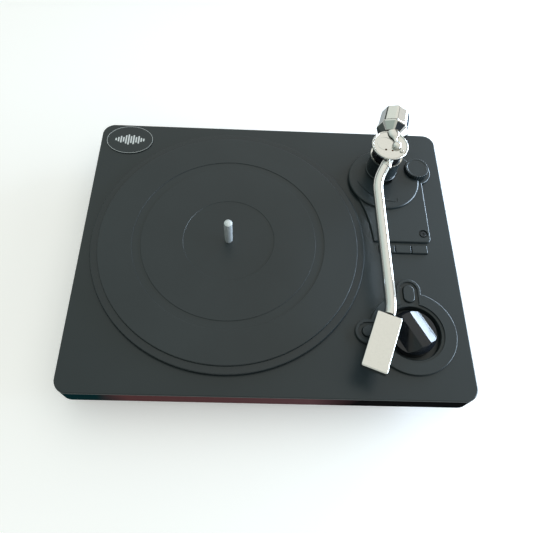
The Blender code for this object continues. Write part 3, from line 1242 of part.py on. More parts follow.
def make_badge():
    """The thin oval badge at the back left of the deck."""
    mesh = bmesh.new()
    sides = COARSE
    oval = [(BADGE_W / 2.0 * math.cos(2 * math.pi * i / sides),
             BADGE_D / 2.0 * math.sin(2 * math.pi * i / sides)) for i in range(sides)]
    slab(mesh, oval, TOP + GAP, TOP + GAP + BADGE_T)
    make("badge", mesh, DARK_METAL,
         at=(BADGE_IN[0] - PLINTH_W / 2.0, PLINTH_D / 2.0 - BADGE_IN[1], 0.0))


make_deck()
make_base()
make_platter()
make_bearing()
make_drive()
make_arm_post(make_arm_plate())
arm_swing_axis = axis_at("arm_swing_axis", PIVOT_X, PIVOT_Y, TOP + PIVOT_UP)
arm_pitch_axis = axis_at("arm_pitch_axis", 0.0, 0.0, 0.0, arm_swing_axis)
make_arm(arm_pitch_axis, make_yoke(arm_swing_axis))
make_weight(arm_pitch_axis)
make_dial()
make_keys()
make_bezel()
make_button("button_top", TOP_BUTTON, 0.0, BLACK_GLOSS)
make_button("button_left", LEFT_BUTTON, math.pi / 2.0, BLACK_GLOSS)
make_knob()
make_electronics()
make_badge()
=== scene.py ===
import json
import math

import bmesh
import bpy
from mathutils import Matrix, Vector


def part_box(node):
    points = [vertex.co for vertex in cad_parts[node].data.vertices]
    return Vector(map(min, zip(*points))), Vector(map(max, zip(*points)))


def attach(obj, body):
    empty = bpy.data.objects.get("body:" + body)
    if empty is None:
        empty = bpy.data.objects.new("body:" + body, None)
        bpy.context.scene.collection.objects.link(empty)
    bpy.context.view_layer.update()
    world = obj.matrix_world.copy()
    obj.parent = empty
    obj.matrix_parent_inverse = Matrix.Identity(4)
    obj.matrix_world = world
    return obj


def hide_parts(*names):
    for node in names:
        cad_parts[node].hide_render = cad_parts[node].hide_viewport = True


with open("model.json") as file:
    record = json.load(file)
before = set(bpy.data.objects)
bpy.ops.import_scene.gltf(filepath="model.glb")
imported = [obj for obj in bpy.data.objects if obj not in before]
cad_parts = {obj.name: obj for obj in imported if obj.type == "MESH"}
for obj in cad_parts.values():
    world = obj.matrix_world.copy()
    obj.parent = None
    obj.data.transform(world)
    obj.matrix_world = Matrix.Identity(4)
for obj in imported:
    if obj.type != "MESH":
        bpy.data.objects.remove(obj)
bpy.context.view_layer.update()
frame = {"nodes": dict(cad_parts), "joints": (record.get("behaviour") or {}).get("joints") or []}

# ---- Camera ---------------------------------------------------------------------------
# It looks down on the player from in front, a little left of its middle and turned a
# few degrees, from about half a metre away.
CAMERA_AT = Vector((-0.0194, -0.2381, 0.4561))
LOOKS_AT = Vector((-0.0053, -0.0140, 0.0383))
CAMERA_ROLL = math.radians(4.85)

ahead = (LOOKS_AT - CAMERA_AT).normalized()
level = ahead.cross(Vector((0.0, 0.0, 1.0))).normalized()
upright = level.cross(ahead)
turned_right = math.cos(CAMERA_ROLL) * level + math.sin(CAMERA_ROLL) * upright
turned_up = math.cos(CAMERA_ROLL) * upright - math.sin(CAMERA_ROLL) * level
lens = bpy.data.cameras.new("camera")
lens.lens = 35.75
lens.shift_x, lens.shift_y = 0.006, -0.0135
lens.clip_start = 0.01
camera = bpy.data.objects.new("camera", lens)
bpy.context.scene.collection.objects.link(camera)
camera.matrix_world = (Matrix.Translation(CAMERA_AT)
                       @ Matrix((turned_right, turned_up, -ahead)).transposed().to_4x4())
bpy.context.scene.camera = camera
bpy.context.scene.view_settings.view_transform = "Standard"


# ---- Studio ---------------------------------------------------------------------------
# A pale floor that glows a little like a light table, in a soft white room that is dimmer
# and greener on the left, with a cool window of two panes low on the right.
def linear(code):
    """A six-figure sRGB hex colour as linear red, green, blue and alpha."""
    parts = [int(code[i:i + 2], 16) / 255.0 for i in (1, 3, 5)]
    return [p / 12.92 if p <= 0.04045 else ((p + 0.055) / 1.055) ** 2.4 for p in parts] + [1.0]


def add(made, kind, sockets=None, settings=None, stops=(), into=None):
    """Adds a node. A socket takes a plain value, another node's output, or a node, which
    stands for its first output. Stops are a colour ramp's places and hex colours, and
    into names the shader's socket that the node feeds."""
    links = made.node_tree.links
    new = made.node_tree.nodes.new("ShaderNode" + kind)
    for name, value in (settings or {}).items():
        setattr(new, name, value)
    for name, value in (sockets or {}).items():
        if isinstance(value, bpy.types.Node):
            value = value.outputs[0]
        if isinstance(value, bpy.types.NodeSocket):
            links.new(value, new.inputs[name])
        else:
            new.inputs[name].default_value = value
    while stops and len(new.color_ramp.elements) < len(stops):
        new.color_ramp.elements.new(0.5)
    if stops:
        for element, (spot, code) in zip(new.color_ramp.elements, stops):
            element.position = spot
            element.color = linear(code)
    if into:
        links.new(new.outputs[0], made.node_tree.nodes["Principled BSDF"].inputs[into])
    return new


sky = bpy.data.worlds.new("soft_sky")
bpy.context.scene.world = sky
sky.use_nodes = True
backdrop = sky.node_tree.nodes["Background"]
ways = add(sky, "SeparateXYZ", {"Vector": add(sky, "TexCoord").outputs["Generated"]})
across = add(sky, "MapRange", {"Value": ways.outputs["X"], "From Min": -0.95, "From Max": 0.75},
             {"interpolation_type": "SMOOTHSTEP"})
back = add(sky, "MapRange", {"Value": ways.outputs["Y"], "From Min": -0.5, "From Max": 0.6},
           {"interpolation_type": "SMOOTHSTEP"})
walls = add(sky, "ValToRGB", {"Fac": across},
            stops=((0.0, "#a0a8a8"), (0.35, "#a4aaaa"), (0.65, "#b9bdbb"), (1.0, "#dfe9f2")))
roof = add(sky, "MixRGB",
           {"Fac": back, "Color1": add(sky, "ValToRGB", {"Fac": across},
                                       stops=((0.0, "#9fb1ad"), (1.0, "#e6e8e0"))),
            "Color2": add(sky, "ValToRGB", {"Fac": across},
                          stops=((0.0, "#d4e6e3"), (0.6, "#f8fcf6"), (1.0, "#f4f4ee")))})
height = add(sky, "MapRange", {"Value": ways.outputs["Z"], "From Min": 0.14, "From Max": 0.5},
             {"interpolation_type": "SMOOTHSTEP"})
low_band = add(sky, "ValToRGB", {"Fac": ways.outputs["Z"]},
               stops=((0.0, "#8a8e90"), (0.06, "#6f7477"), (0.1, "#ffffff")))
room = add(sky, "MixRGB", {"Fac": height, "Color1": walls, "Color2": roof})
skirted = add(sky, "MixRGB", {"Fac": 1.0, "Color1": room, "Color2": low_band},
              {"blend_type": "MULTIPLY"})
rail_high = add(sky, "ValToRGB", {"Fac": ways.outputs["Z"]},
                stops=((0.44, "#000000"), (0.48, "#ffffff"), (0.56, "#ffffff"), (0.6, "#000000")))
rail_right = add(sky, "MapRange", {"Value": ways.outputs["X"], "From Min": 0.15, "From Max": 0.4})
rail = add(sky, "Math", {0: rail_high, 1: rail_right}, {"operation": "MULTIPLY"})
blend = add(sky, "MixRGB", {"Fac": rail, "Color1": skirted, "Color2": linear("#39424a")})
sky.node_tree.links.new(blend.outputs["Color"], backdrop.inputs["Color"])
backdrop.inputs["Strength"].default_value = 1.0


def lamp(name, place, towards, size, power, colour):
    """A soft rectangular light that faces a point."""
    data = bpy.data.lights.new(name, "AREA")
    data.shape = "RECTANGLE"
    data.size, data.size_y = size
    data.energy = power
    data.color = linear(colour)[:3]
    made = bpy.data.objects.new(name, data)
    bpy.context.scene.collection.objects.link(made)
    made.location = place
    made.rotation_mode = "QUATERNION"
    made.rotation_quaternion = (Vector(towards) - Vector(place)).to_track_quat("-Z", "Y")
    data.spread = math.radians(96.0)
    made.visible_camera = False


for pane, turn in (("front", -4.0), ("back", 36.0)):
    away = Vector((math.cos(math.radians(turn)), math.sin(math.radians(turn)), 0.0)) * 0.66
    lamp("window_" + pane, away + Vector((0.05, 0.0, 0.120)), (0.05, 0.0, 0.10), (0.42, 0.23),
         2.4, "#d0e5fb")

bpy.ops.object.select_all(action="DESELECT")
bpy.ops.mesh.primitive_plane_add(size=6.0, location=(0.0, 0.0, 0.0))
floor = bpy.context.object
floor.name = "floor"
paper = bpy.data.materials.new("white_paper")
paper.use_nodes = True
paper.node_tree.nodes["Principled BSDF"].inputs["Base Color"].default_value = linear("#fcfcfb")
paper.node_tree.nodes["Principled BSDF"].inputs["Roughness"].default_value = 0.9
paper.node_tree.nodes["Principled BSDF"].inputs["Emission Color"].default_value = linear("#fff6f2")
paper.node_tree.nodes["Principled BSDF"].inputs["Emission Strength"].default_value = 0.24
floor.data.materials.append(paper)


# ---- Plinth top -----------------------------------------------------------------------
# The top of the player is one deep ABS moulding with round corners: a satin face with a
# fine spark-eroded grain, glossier black sides with a painted wine-brown and teal reflection,
# and a round well for the platter.
MM = 0.001


def substance(name, colour, roughness, metallic=0.0, **sockets):
    """A new material, and the piece's own coordinates in metres."""
    made = bpy.data.materials.new(name)
    made.use_nodes = True
    shader = made.node_tree.nodes["Principled BSDF"]
    shader.inputs["Base Color"].default_value = linear(colour)
    shader.inputs["Roughness"].default_value = roughness
    shader.inputs["Metallic"].default_value = metallic
    for socket, value in sockets.items():
        shader.inputs[socket.replace("_", " ")].default_value = value
    return made, add(made, "TexCoord").outputs["Object"]


# Spark-eroded ABS: a grain of 0.7 mm, drawn coarse enough to show, and a tone that
# drifts a little over the width of a hand.
satin_abs, place = substance("satin_moulded_abs", "#21292b", 0.33)
grain = add(satin_abs, "TexNoise", {"Vector": place, "Scale": 1.0 / (0.7 * MM), "Detail": 3.0})
drift = add(satin_abs, "TexNoise", {"Vector": place, "Scale": 1.0 / (70 * MM), "Detail": 2.0})
add(satin_abs, "ValToRGB", {"Fac": drift}, stops=((0.3, "#1f2729"), (0.7, "#232b2d")),
    into="Base Color")
add(satin_abs, "MapRange", {"Value": grain, "To Min": 0.28, "To Max": 0.37}, into="Roughness")
add(satin_abs, "Bump", {"Height": grain, "Strength": 0.12, "Distance": 0.05 * MM}, into="Normal")

# The sides come out of the mould smoother. Their colour is a painted reflection of the room:
# wine-brown over most of their length, teal at the left end and nearly black at the right.
side_abs_painted_reflection, place = substance("black_abs_painted_reflection", "#2a1c1e", 0.38, Specular_IOR_Level=0.0)
drift = add(side_abs_painted_reflection, "TexNoise", {"Vector": place, "Scale": 1.0 / (60 * MM), "Detail": 1.0})
along = add(side_abs_painted_reflection, "SeparateXYZ", {"Vector": place})
# The painted reflection is laid out along the piece's X, with a little noise in its edges.
shift = add(side_abs_painted_reflection, "Math", {0: drift, 1: 0.06, 2: along.outputs["X"]},
            {"operation": "MULTIPLY_ADD"})
reach = add(side_abs_painted_reflection, "MapRange", {"Value": shift, "From Min": -0.13, "From Max": 0.2})
# Painted reflection: teal, then wine-brown, then near-black from left to right.
add(side_abs_painted_reflection, "ValToRGB", {"Fac": reach},
    stops=((0.0, "#0c2a2e"), (0.06, "#0f2a2d"), (0.14, "#5a393a"), (0.6, "#5c4043"),
           (0.72, "#121112"), (1.0, "#101112")), into="Base Color")


def outward(test_z):
    """Picks the edges round a flat top or bottom face at a height."""
    def test(edge):
        return (all(abs(v.co.z - test_z) < 1e-6 for v in edge.verts)
                and any(abs(f.normal.z) < 0.5 for f in edge.link_faces))
    return test


def standing(edge):
    """Picks the edges that run straight up."""
    a, b = edge.verts
    return (a.co - b.co).xy.length < 1e-7


def soften(piece, width, segments, wanted):
    """Rounds the edges that a test picks."""
    bpy.ops.object.select_all(action="DESELECT")
    piece.select_set(True)
    bpy.context.view_layer.objects.active = piece
    bpy.ops.object.mode_set(mode="EDIT")
    bpy.ops.mesh.select_mode(type="EDGE")
    bpy.ops.mesh.select_all(action="DESELECT")
    mesh = bmesh.from_edit_mesh(piece.data)
    for edge in mesh.edges:
        edge.select_set(wanted(edge))
    bmesh.update_edit_mesh(piece.data)
    bpy.ops.mesh.bevel(offset=width, offset_type="OFFSET", segments=segments, affect="EDGES")
    bpy.ops.mesh.select_mode(type="VERT")
    bpy.ops.object.mode_set(mode="OBJECT")


def block(name, low, high):
    """A box between two corners."""
    bpy.ops.object.select_all(action="DESELECT")
    size = [b - a for a, b in zip(low, high)]
    bpy.ops.mesh.primitive_cube_add(size=1.0, scale=size,
                                    location=[(a + b) / 2.0 for a, b in zip(low, high)])
    piece = bpy.context.object
    piece.name = piece.data.name = name
    bpy.ops.object.transform_apply(location=True, rotation=True, scale=True)
    return piece


def rod(name, radius, low, high, x, y, sides=96):
    """An upright cylinder."""
    bpy.ops.object.select_all(action="DESELECT")
    bpy.ops.mesh.primitive_cylinder_add(vertices=sides, radius=radius, depth=high - low,
                                        location=(x, y, (low + high) / 2.0))
    piece = bpy.context.object
    piece.name = piece.data.name = name
    bpy.ops.object.transform_apply(location=True, rotation=True, scale=True)
    return piece


def shape_with(piece, helper, how="DIFFERENCE"):
    """Cuts a helper solid out of a piece, or joins it in, and throws the helper away."""
    step = piece.modifiers.new(helper.name, "BOOLEAN")
    step.operation = how
    step.solver = "EXACT"
    step.object = helper
    bpy.context.view_layer.objects.active = piece
    bpy.ops.object.modifier_apply(modifier=step.name)
    bpy.data.objects.remove(helper)


def dress(piece, body, slot, finish, *stands_for, angle=30.0, flat=True):
    """Gives a finished piece its material, its shading, its body and what it stands for."""
    piece.data.materials.clear()
    piece.data.materials.append(finish)
    bpy.ops.object.select_all(action="DESELECT")
    piece.select_set(True)
    bpy.context.view_layer.objects.active = piece
    bpy.ops.object.shade_smooth_by_angle(angle=math.radians(angle))
    if flat:
        weigh = piece.modifiers.new("weigh", "WEIGHTED_NORMAL")
        weigh.keep_sharp = True
        bpy.ops.object.modifier_apply(modifier=weigh.name)
    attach(piece, body)
    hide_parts(*stands_for)
    return piece


def joint_at(name):
    """Where a joint's axis passes."""
    return Vector(next(j["pos_m"] for j in frame["joints"] if j["name"] == name))


platter_at = joint_at("platter_spin")
motor_at = joint_at("motor_spin")
pivot = joint_at("arm_lift")
dial_at = joint_at("antiskate_turn")
knob_at = joint_at("volume_turn")
deck_low, deck_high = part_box("deck")
DECK_TOP = deck_high.z
DECK_WALL = 3.0 * MM
DECK_CORNER = 12.0 * MM
WELL_R = 110.0 * MM
WELL_FLOOR = DECK_TOP - 8.0 * MM
WELL_UNDER = WELL_FLOOR - 2.5 * MM

plinth = block("plinth_top", deck_low, deck_high)
soften(plinth, DECK_CORNER, 14, standing)
soften(plinth, 1.2 * MM, 4, outward(DECK_TOP))
inset = Vector((DECK_WALL, DECK_WALL, 0.0))
hollow = block("hollow", deck_low + inset - Vector((0.0, 0.0, 1.0 * MM)),
               deck_high - inset - Vector((0.0, 0.0, DECK_WALL)))
soften(hollow, DECK_CORNER - DECK_WALL, 8, standing)
shape_with(plinth, hollow)
shape_with(plinth, rod("tub", WELL_R + 2.5 * MM, WELL_UNDER, DECK_TOP - 1.5 * MM,
                       platter_at.x, platter_at.y), "UNION")
shape_with(plinth, rod("well", WELL_R, WELL_FLOOR, DECK_TOP + MM, platter_at.x, platter_at.y))


def middle(node):
    """The middle of a CAD node's box."""
    low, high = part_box(node)
    return (low + high) / 2.0


under_face, over_face = DECK_TOP - 4.0 * MM, DECK_TOP + MM
for radius, at in ((8.3, pivot), (2.8, dial_at), (1.8, middle("plate_screw")), (25.9, knob_at)):
    shape_with(plinth, rod("hole", radius * MM, under_face, over_face, at.x, at.y))
for radius, at in ((7.8, platter_at), (5.0, motor_at), (1.8, middle("motor_screw_front")),
                   (1.8, middle("motor_screw_back"))):
    shape_with(plinth, rod("hole", radius * MM, WELL_UNDER - MM, WELL_FLOOR + MM, at.x, at.y, 48))


def pill(name, width, length, low, high, at, along="Y"):
    """An upright slot-shaped solid."""
    half = Vector((width, length) if along == "Y" else (length, width)) / 2.0
    piece = block(name, (at.x - half.x, at.y - half.y, low), (at.x + half.x, at.y + half.y, high))
    soften(piece, width / 2.0 - 0.01 * MM, 12, standing)
    return piece


KEYS = ("speed_key_33", "speed_key_45", "speed_key_78")
SLOT_GAP = 0.3 * MM
for key in KEYS:
    at = middle(key)
    shape_with(plinth, block("slot", (at.x - 7.4 * MM, at.y - 4.2 * MM, under_face),
                             (at.x + 7.4 * MM, at.y + 4.2 * MM, over_face)))
for button, along in (("button_top", "Y"), ("button_left", "X")):
    shape_with(plinth, pill("slot", 10.4 * MM, 16.9 * MM, under_face, over_face,
                            middle(button), along))

for socket in ("phono_socket_left", "phono_socket_right"):
    at = middle(socket)
    hole = rod("hole", 7.2 * MM, -5.0 * MM, 5.0 * MM, 0.0, 0.0)
    hole.matrix_world = (Matrix.Translation((at.x, deck_high.y, at.z))
                         @ Matrix.Rotation(math.pi / 2.0, 4, "X"))
    shape_with(plinth, hole)
jack_low, jack_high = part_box("dc_jack")
shape_with(plinth, block("hole", (jack_low.x - SLOT_GAP, deck_high.y - 5.0 * MM,
                                  jack_low.z - SLOT_GAP),
                         (jack_high.x + SLOT_GAP, deck_high.y + MM, jack_high.z + SLOT_GAP)))
dress(plinth, "chassis", "deck_plastic", satin_abs, "deck")
# The outer side faces below the top edge get the second material, with its painted reflection.
plinth.data.materials.append(side_abs_painted_reflection)
SIDE_BAND = DECK_TOP - 1.3 * MM
for face in plinth.data.polygons:
    outside = (abs(face.center.x) > deck_high.x - MM or abs(face.center.y) > deck_high.y - MM
               or (Vector(face.center).xy.length > 0.19 and face.normal.z ** 2 < 0.01))
    if outside and abs(face.normal.z) < 0.1 and face.center.z < SIDE_BAND:
        face.material_index = 1

# ---- Base tray, its screws and the feet -----------------------------------------------
# Underneath, a matt ABS tray closes the plinth with four recessed steel screws, and four
# turned rubber feet with a ring groove in the tread are stuck to it.
matt_abs, place = substance("matt_moulded_abs", "#1f2224", 0.55)
grain = add(matt_abs, "TexNoise", {"Vector": place, "Scale": 1.0 / (0.9 * MM), "Detail": 4.0})
add(matt_abs, "ValToRGB", {"Fac": grain}, stops=((0.3, "#1d2022"), (0.7, "#242729")),
    into="Base Color")
add(matt_abs, "Bump", {"Height": grain, "Strength": 0.35, "Distance": 0.08 * MM}, into="Normal")

# Moulded rubber: matt, a little dusty, with a fine pebble of 0.5 mm.
foot_rubber, place = substance("black_moulded_rubber", "#1b1b1c", 0.78)
pebble = add(foot_rubber, "TexVoronoi", {"Vector": place, "Scale": 1.0 / (0.5 * MM)})
add(foot_rubber, "ValToRGB", {"Fac": pebble}, stops=((0.0, "#161617"), (0.8, "#222223")),
    into="Base Color")
add(foot_rubber, "Bump", {"Height": pebble, "Strength": 0.3, "Distance": 0.06 * MM}, into="Normal")

# Turned steel: bright, with lathe rings about 0.25 mm apart that spread the light.
turned_steel, place = substance("turned_steel", "#b9bcbd", 0.26, 1.0)
rings = add(turned_steel, "TexWave",
            {"Vector": place, "Scale": 1.0 / (1.6 * MM), "Distortion": 0.4, "Detail": 1.0},
            {"bands_direction": "Z"})
add(turned_steel, "ValToRGB", {"Fac": rings.outputs["Fac"]},
    stops=((0.0, "#a9acad"), (1.0, "#c8cbcb")), into="Base Color")
add(turned_steel, "MapRange", {"Value": rings.outputs["Fac"], "To Min": 0.2, "To Max": 0.34},
    into="Roughness")


def ring_of(name, points, fill):
    """A circle with one corner for each point, moved there."""
    bpy.ops.object.select_all(action="DESELECT")
    bpy.ops.mesh.primitive_circle_add(vertices=len(points), fill_type=fill)
    piece = bpy.context.object
    piece.name = piece.data.name = name
    for corner, at in zip(piece.data.vertices, points):
        corner.co = at
    return piece


def turned(name, profile, at, steps=128):
    """A lathe-turned piece: pairs of radius and height in mm, spun right round."""
    points = [(at.x + r * MM, at.y, z * MM) for r, z in profile]
    piece = ring_of(name, points, "NOTHING")
    bpy.ops.object.mode_set(mode="EDIT")
    bpy.ops.mesh.select_mode(type="EDGE")
    bpy.ops.mesh.select_all(action="DESELECT")
    mesh = bmesh.from_edit_mesh(piece.data)
    for edge in mesh.edges:
        edge.select_set(all(abs(v.co.x - at.x) < 1e-7 for v in edge.verts))
    bmesh.update_edit_mesh(piece.data)
    bpy.ops.mesh.delete(type="EDGE")
    bpy.ops.mesh.select_mode(type="VERT")
    bpy.ops.mesh.select_all(action="SELECT")
    bpy.ops.mesh.spin(steps=steps, angle=2.0 * math.pi, center=(at.x, at.y, 0.0),
                      axis=(0.0, 0.0, 1.0))
    bpy.ops.mesh.select_all(action="SELECT")
    bpy.ops.mesh.remove_doubles(threshold=1e-6)
    bpy.ops.mesh.normals_make_consistent(inside=False)
    bpy.ops.object.mode_set(mode="OBJECT")
    return piece


def paint_node(node, finish):
    """A CAD node whose shape is right gets a better material."""
    slots = frame["nodes"][node].data.materials
    slots.clear()
    slots.append(finish)


def cross_recess(piece, at, high, reach, deep):
    """Cuts a cross into a screw's head, from above or, with a negative depth, below."""
    for wide, long in ((0.28, 1.0), (1.0, 0.28)):
        low, top = sorted((high - deep, high + math.copysign(MM, deep)))
        shape_with(piece, block("slot", (at.x - reach * wide, at.y - reach * long, low),
                                (at.x + reach * wide, at.y + reach * long, top)))


QUARTERS = ("front_left", "front_right", "back_left", "back_right")
paint_node("bottom_pan", matt_abs)
for quarter in QUARTERS:
    at = middle("foot_" + quarter)
    foot = turned("rubber_foot_" + quarter,
                  [(0.0, 0.9), (5.2, 0.9), (5.8, 0.25), (6.4, 0.0), (8.6, 0.0), (9.0, 0.4),
                   (9.0, 0.9), (10.0, 0.9), (10.0, 0.4), (10.4, 0.0), (12.7, 0.0), (13.5, 0.3),
                   (13.9, 0.9), (14.0, 2.0), (14.0, 5.2), (13.4, 5.6), (13.4, 6.4), (14.0, 6.8),
                   (14.0, 7.6), (13.7, 8.0), (0.0, 8.0)], at, 72)
    dress(foot, "chassis", "black_rubber", foot_rubber, "foot_" + quarter)
    at = middle("pan_screw_" + quarter)
    seat, tip = 18.0, 28.0
    screw = turned("base_screw_" + quarter,
                   [(0.0, seat - 1.6), (2.2, seat - 1.6), (2.8, seat - 1.3), (3.0, seat - 0.8),
                    (3.0, seat), (1.5, seat), (1.5, tip - 1.2), (0.5, tip), (0.0, tip)], at, 48)
    cross_recess(screw, at, (seat - 1.6) * MM, 1.6 * MM, -0.9 * MM)
    dress(screw, "chassis", "bright_steel", turned_steel, "pan_screw_" + quarter)

# ---- Platter --------------------------------------------------------------------------
# A thin aluminium disc, painted satin black, whose rounded rim stands out beyond its mat
# just above the plinth. A hub under it runs on the bearing.
satin_paint, place = substance("satin_black_paint", "#22292b", 0.24)
peel = add(satin_paint, "TexNoise", {"Vector": place, "Scale": 1.0 / (1.8 * MM), "Detail": 2.0})
add(satin_paint, "ValToRGB", {"Fac": peel}, stops=((0.3, "#20272a"), (0.7, "#242b2d")),
    into="Base Color")
add(satin_paint, "Bump", {"Height": peel, "Strength": 0.1, "Distance": 0.04 * MM}, into="Normal")
disc_low, disc_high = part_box("platter")
rim = (disc_high.x - disc_low.x) / 2.0 / MM
disc = turned("platter_disc",
              [(3.9, 33.2), (14.0, 33.2), (14.0, 38.6), (14.5, 39.1), (rim - 0.8, 39.1),
               (rim - 0.2, 39.4), (rim, 39.9), (rim, 40.7), (rim - 0.16, 41.25),
               (rim - 0.55, 41.7), (rim - 1.2, 41.9), (3.9, 41.9)], platter_at, 240)
dress(disc, "turning_platter", "platter_paint", satin_paint, "platter")

# ---- Mat ------------------------------------------------------------------------------
# A moulded rubber mat with a raised edge, one broad shallow ring groove and a recess
# where a record's label lies. Its charcoal surface has a fine dull grain.
mat_rubber, place = substance("moulded_mat_rubber", "#252c2e", 0.38)
grain = add(mat_rubber, "TexNoise", {"Vector": place, "Scale": 1.0 / (0.8 * MM), "Detail": 4.0})
drift = add(mat_rubber, "TexNoise", {"Vector": place, "Scale": 1.0 / (55 * MM), "Detail": 2.0})
add(mat_rubber, "ValToRGB", {"Fac": drift}, stops=((0.3, "#232a2c"), (0.7, "#272e30")),
    into="Base Color")
add(mat_rubber, "MapRange", {"Value": grain, "To Min": 0.33, "To Max": 0.43}, into="Roughness")
add(mat_rubber, "Bump", {"Height": grain, "Strength": 0.15, "Distance": 0.05 * MM}, into="Normal")
mat_low, mat_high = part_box("platter_mat")
edge = (mat_high.x - mat_low.x) / 2.0 / MM
GROOVE = (78.4, 86.5)
LABEL_R = 41.0
mat = turned("rubber_mat",
             [(3.9, 42.2), (edge - 0.3, 42.2), (edge, 42.5), (edge, 42.9), (edge - 0.12, 43.3),
              (edge - 0.4, 43.65), (edge - 0.9, 43.8), (GROOVE[1] + 0.25, 43.8), (GROOVE[1], 43.7),
              (GROOVE[1] - 0.15, 43.3), (GROOVE[1] - 0.35, 43.2), (GROOVE[0] + 0.35, 43.2),
              (GROOVE[0] + 0.15, 43.3), (GROOVE[0], 43.7), (GROOVE[0] - 0.25, 43.8),
              (LABEL_R + 0.2, 43.8), (LABEL_R, 43.72), (LABEL_R - 0.2, 43.45),
              (LABEL_R - 0.4, 43.4), (4.3, 43.4), (3.9, 43.2)], platter_at, 240)
dress(mat, "turning_platter", "mat_rubber", mat_rubber, "platter_mat")

# ---- Spindle --------------------------------------------------------------------------
# A turned steel pin with a chamfered, slightly domed end, on which records are centred.
# Dull nickel plate: soft, with small dents about 1 mm apart that break up the light.
dull_nickel, place = substance("dull_nickel_plate", "#dfe4e5", 0.42, 0.6)
dents = add(dull_nickel, "TexNoise", {"Vector": place, "Scale": 1.0 / (1.0 * MM), "Detail": 2.0})
add(dull_nickel, "ValToRGB", {"Fac": dents}, stops=((0.3, "#cdd3d5"), (0.7, "#eaeeee")),
    into="Base Color")
add(dull_nickel, "Bump", {"Height": dents, "Strength": 0.5, "Distance": 0.15 * MM}, into="Normal")
pin = turned("centre_spindle",
             [(0.0, 18.4), (3.2, 18.4), (3.6, 18.8), (3.6, 70.6), (3.45, 71.0), (2.5, 71.6),
              (1.4, 71.78), (0.0, 71.8)], platter_at, 64)
dress(pin, "turning_platter", "bright_steel", dull_nickel, "spindle")

# ---- Drive inside the well ------------------------------------------------------------
# Under the platter: a brass bearing with a nylon pad, a moulded drive ring, a flat rubber
# belt, and a can motor hung on a rubber ring by two screws, with a brass pulley.
brass, place = substance("turned_brass", "#c9a24c", 0.3, 1.0)
rings = add(brass, "TexWave", {"Vector": place, "Scale": 1.0 / (1.5 * MM), "Distortion": 0.5},
            {"bands_direction": "Z"})
add(brass, "ValToRGB", {"Fac": rings.outputs["Fac"]}, stops=((0.0, "#bb9440"), (1.0, "#d3ae5c")),
    into="Base Color")
nylon, place = substance("natural_nylon", "#dcd9cc", 0.5)
cloud = add(nylon, "TexNoise", {"Vector": place, "Scale": 1.0 / (3.0 * MM)})
add(nylon, "ValToRGB", {"Fac": cloud}, stops=((0.3, "#d5d2c4"), (0.7, "#e2dfd4")),
    into="Base Color")
for node in ("bearing_housing", "arm_bearing", "motor_pulley"):
    paint_node(node, brass)
paint_node("thrust_pad", nylon)
for node in ("drive_belt", "motor_gasket"):
    paint_node(node, foot_rubber)
paint_node("drive_ring", matt_abs)
for node in ("motor_body", "motor_screw_front", "motor_screw_back", "motor_shaft",
             "arm_post_nut", "gimbal_pin", "dial_clip", "pot_shaft"):
    paint_node(node, turned_steel)

# ---- Arm board ------------------------------------------------------------------------
# A raised ABS plate screwed to the plinth. Its left edge follows the platter's rim, its
# back follows the round base of the arm and the small dial, and its front runs past the
# three keys. The edge is bevelled and catches the light.
base_low, base_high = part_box("arm_base_disc")
base_at = Vector((base_low.x + 34.4 * MM, base_high.y - 34.4 * MM, base_high.z))
board_low, board_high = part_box("arm_plate")


def bow(at, radius, start, end, steps):
    """Points along an arc, both ends included; the angles are in radians."""
    return [(at.x + radius * math.cos(start + (end - start) * i / steps),
             at.y + radius * math.sin(start + (end - start) * i / steps))
            for i in range(steps + 1)]


def prism(name, outline, low, high):
    """An upright solid over an outline."""
    piece = ring_of(name, [(x, y, low) for x, y in outline], "NGON")
    bpy.ops.object.mode_set(mode="EDIT")
    bpy.ops.mesh.select_all(action="SELECT")
    bpy.ops.mesh.extrude_region_move(TRANSFORM_OT_translate={"value": (0.0, 0.0, high - low)})
    bpy.ops.mesh.select_all(action="SELECT")
    bpy.ops.mesh.normals_make_consistent(inside=False)
    bpy.ops.object.mode_set(mode="OBJECT")
    return piece


PLATTER_EDGE = (rim + 9.4) * MM
UNDER_BASE = 33.4 * MM
DIAL_LOBE = 15.0 * MM
front, right = board_low.y, base_at.x + 38.0 * MM
BOARD_CORNER = 4.0 * MM
reach = base_at.xy - platter_at.xy
spread = math.acos((PLATTER_EDGE ** 2 + reach.length_squared - UNDER_BASE ** 2)
                   / (2.0 * PLATTER_EDGE * reach.length))
outline = bow(platter_at, PLATTER_EDGE, math.asin((front - platter_at.y) / PLATTER_EDGE),
              math.atan2(reach.y, reach.x) - spread, 40)
leave = math.atan2(outline[-1][1] - base_at.y, outline[-1][0] - base_at.x) % (2.0 * math.pi)
to_dial = dial_at.xy - base_at.xy
facing = math.atan2(to_dial.y, to_dial.x)
apart = to_dial.length
open_base = math.acos((apart ** 2 + UNDER_BASE ** 2 - DIAL_LOBE ** 2) / (2 * apart * UNDER_BASE))
open_lobe = math.acos((apart ** 2 + DIAL_LOBE ** 2 - UNDER_BASE ** 2) / (2 * apart * DIAL_LOBE))
outline += bow(base_at, UNDER_BASE, leave, facing + open_base, 72)[1:]
outline += bow(dial_at, DIAL_LOBE, facing + math.pi - open_lobe,
               -math.acos((right - dial_at.x) / DIAL_LOBE), 48)[1:]
outline += bow(Vector((right - BOARD_CORNER, front + BOARD_CORNER)), BOARD_CORNER, 0.0,
               -math.pi / 2.0, 10)
board = prism("arm_board", outline, board_low.z, board_high.z)
soften(board, 1.1 * MM, 4, outward(board_high.z))
for radius, at in ((8.3, pivot), (2.8, dial_at), (1.8, middle("plate_screw"))):
    shape_with(board, rod("hole", radius * MM, board_low.z - MM, board_high.z + MM, at.x, at.y, 64))
at = middle("plate_screw")
shape_with(board, rod("recess", 4.3 * MM, board_low.z + 0.7 * MM, board_high.z + MM, at.x, at.y,
                      64))
dress(board, "chassis", "trim_plastic", satin_abs, "arm_plate")

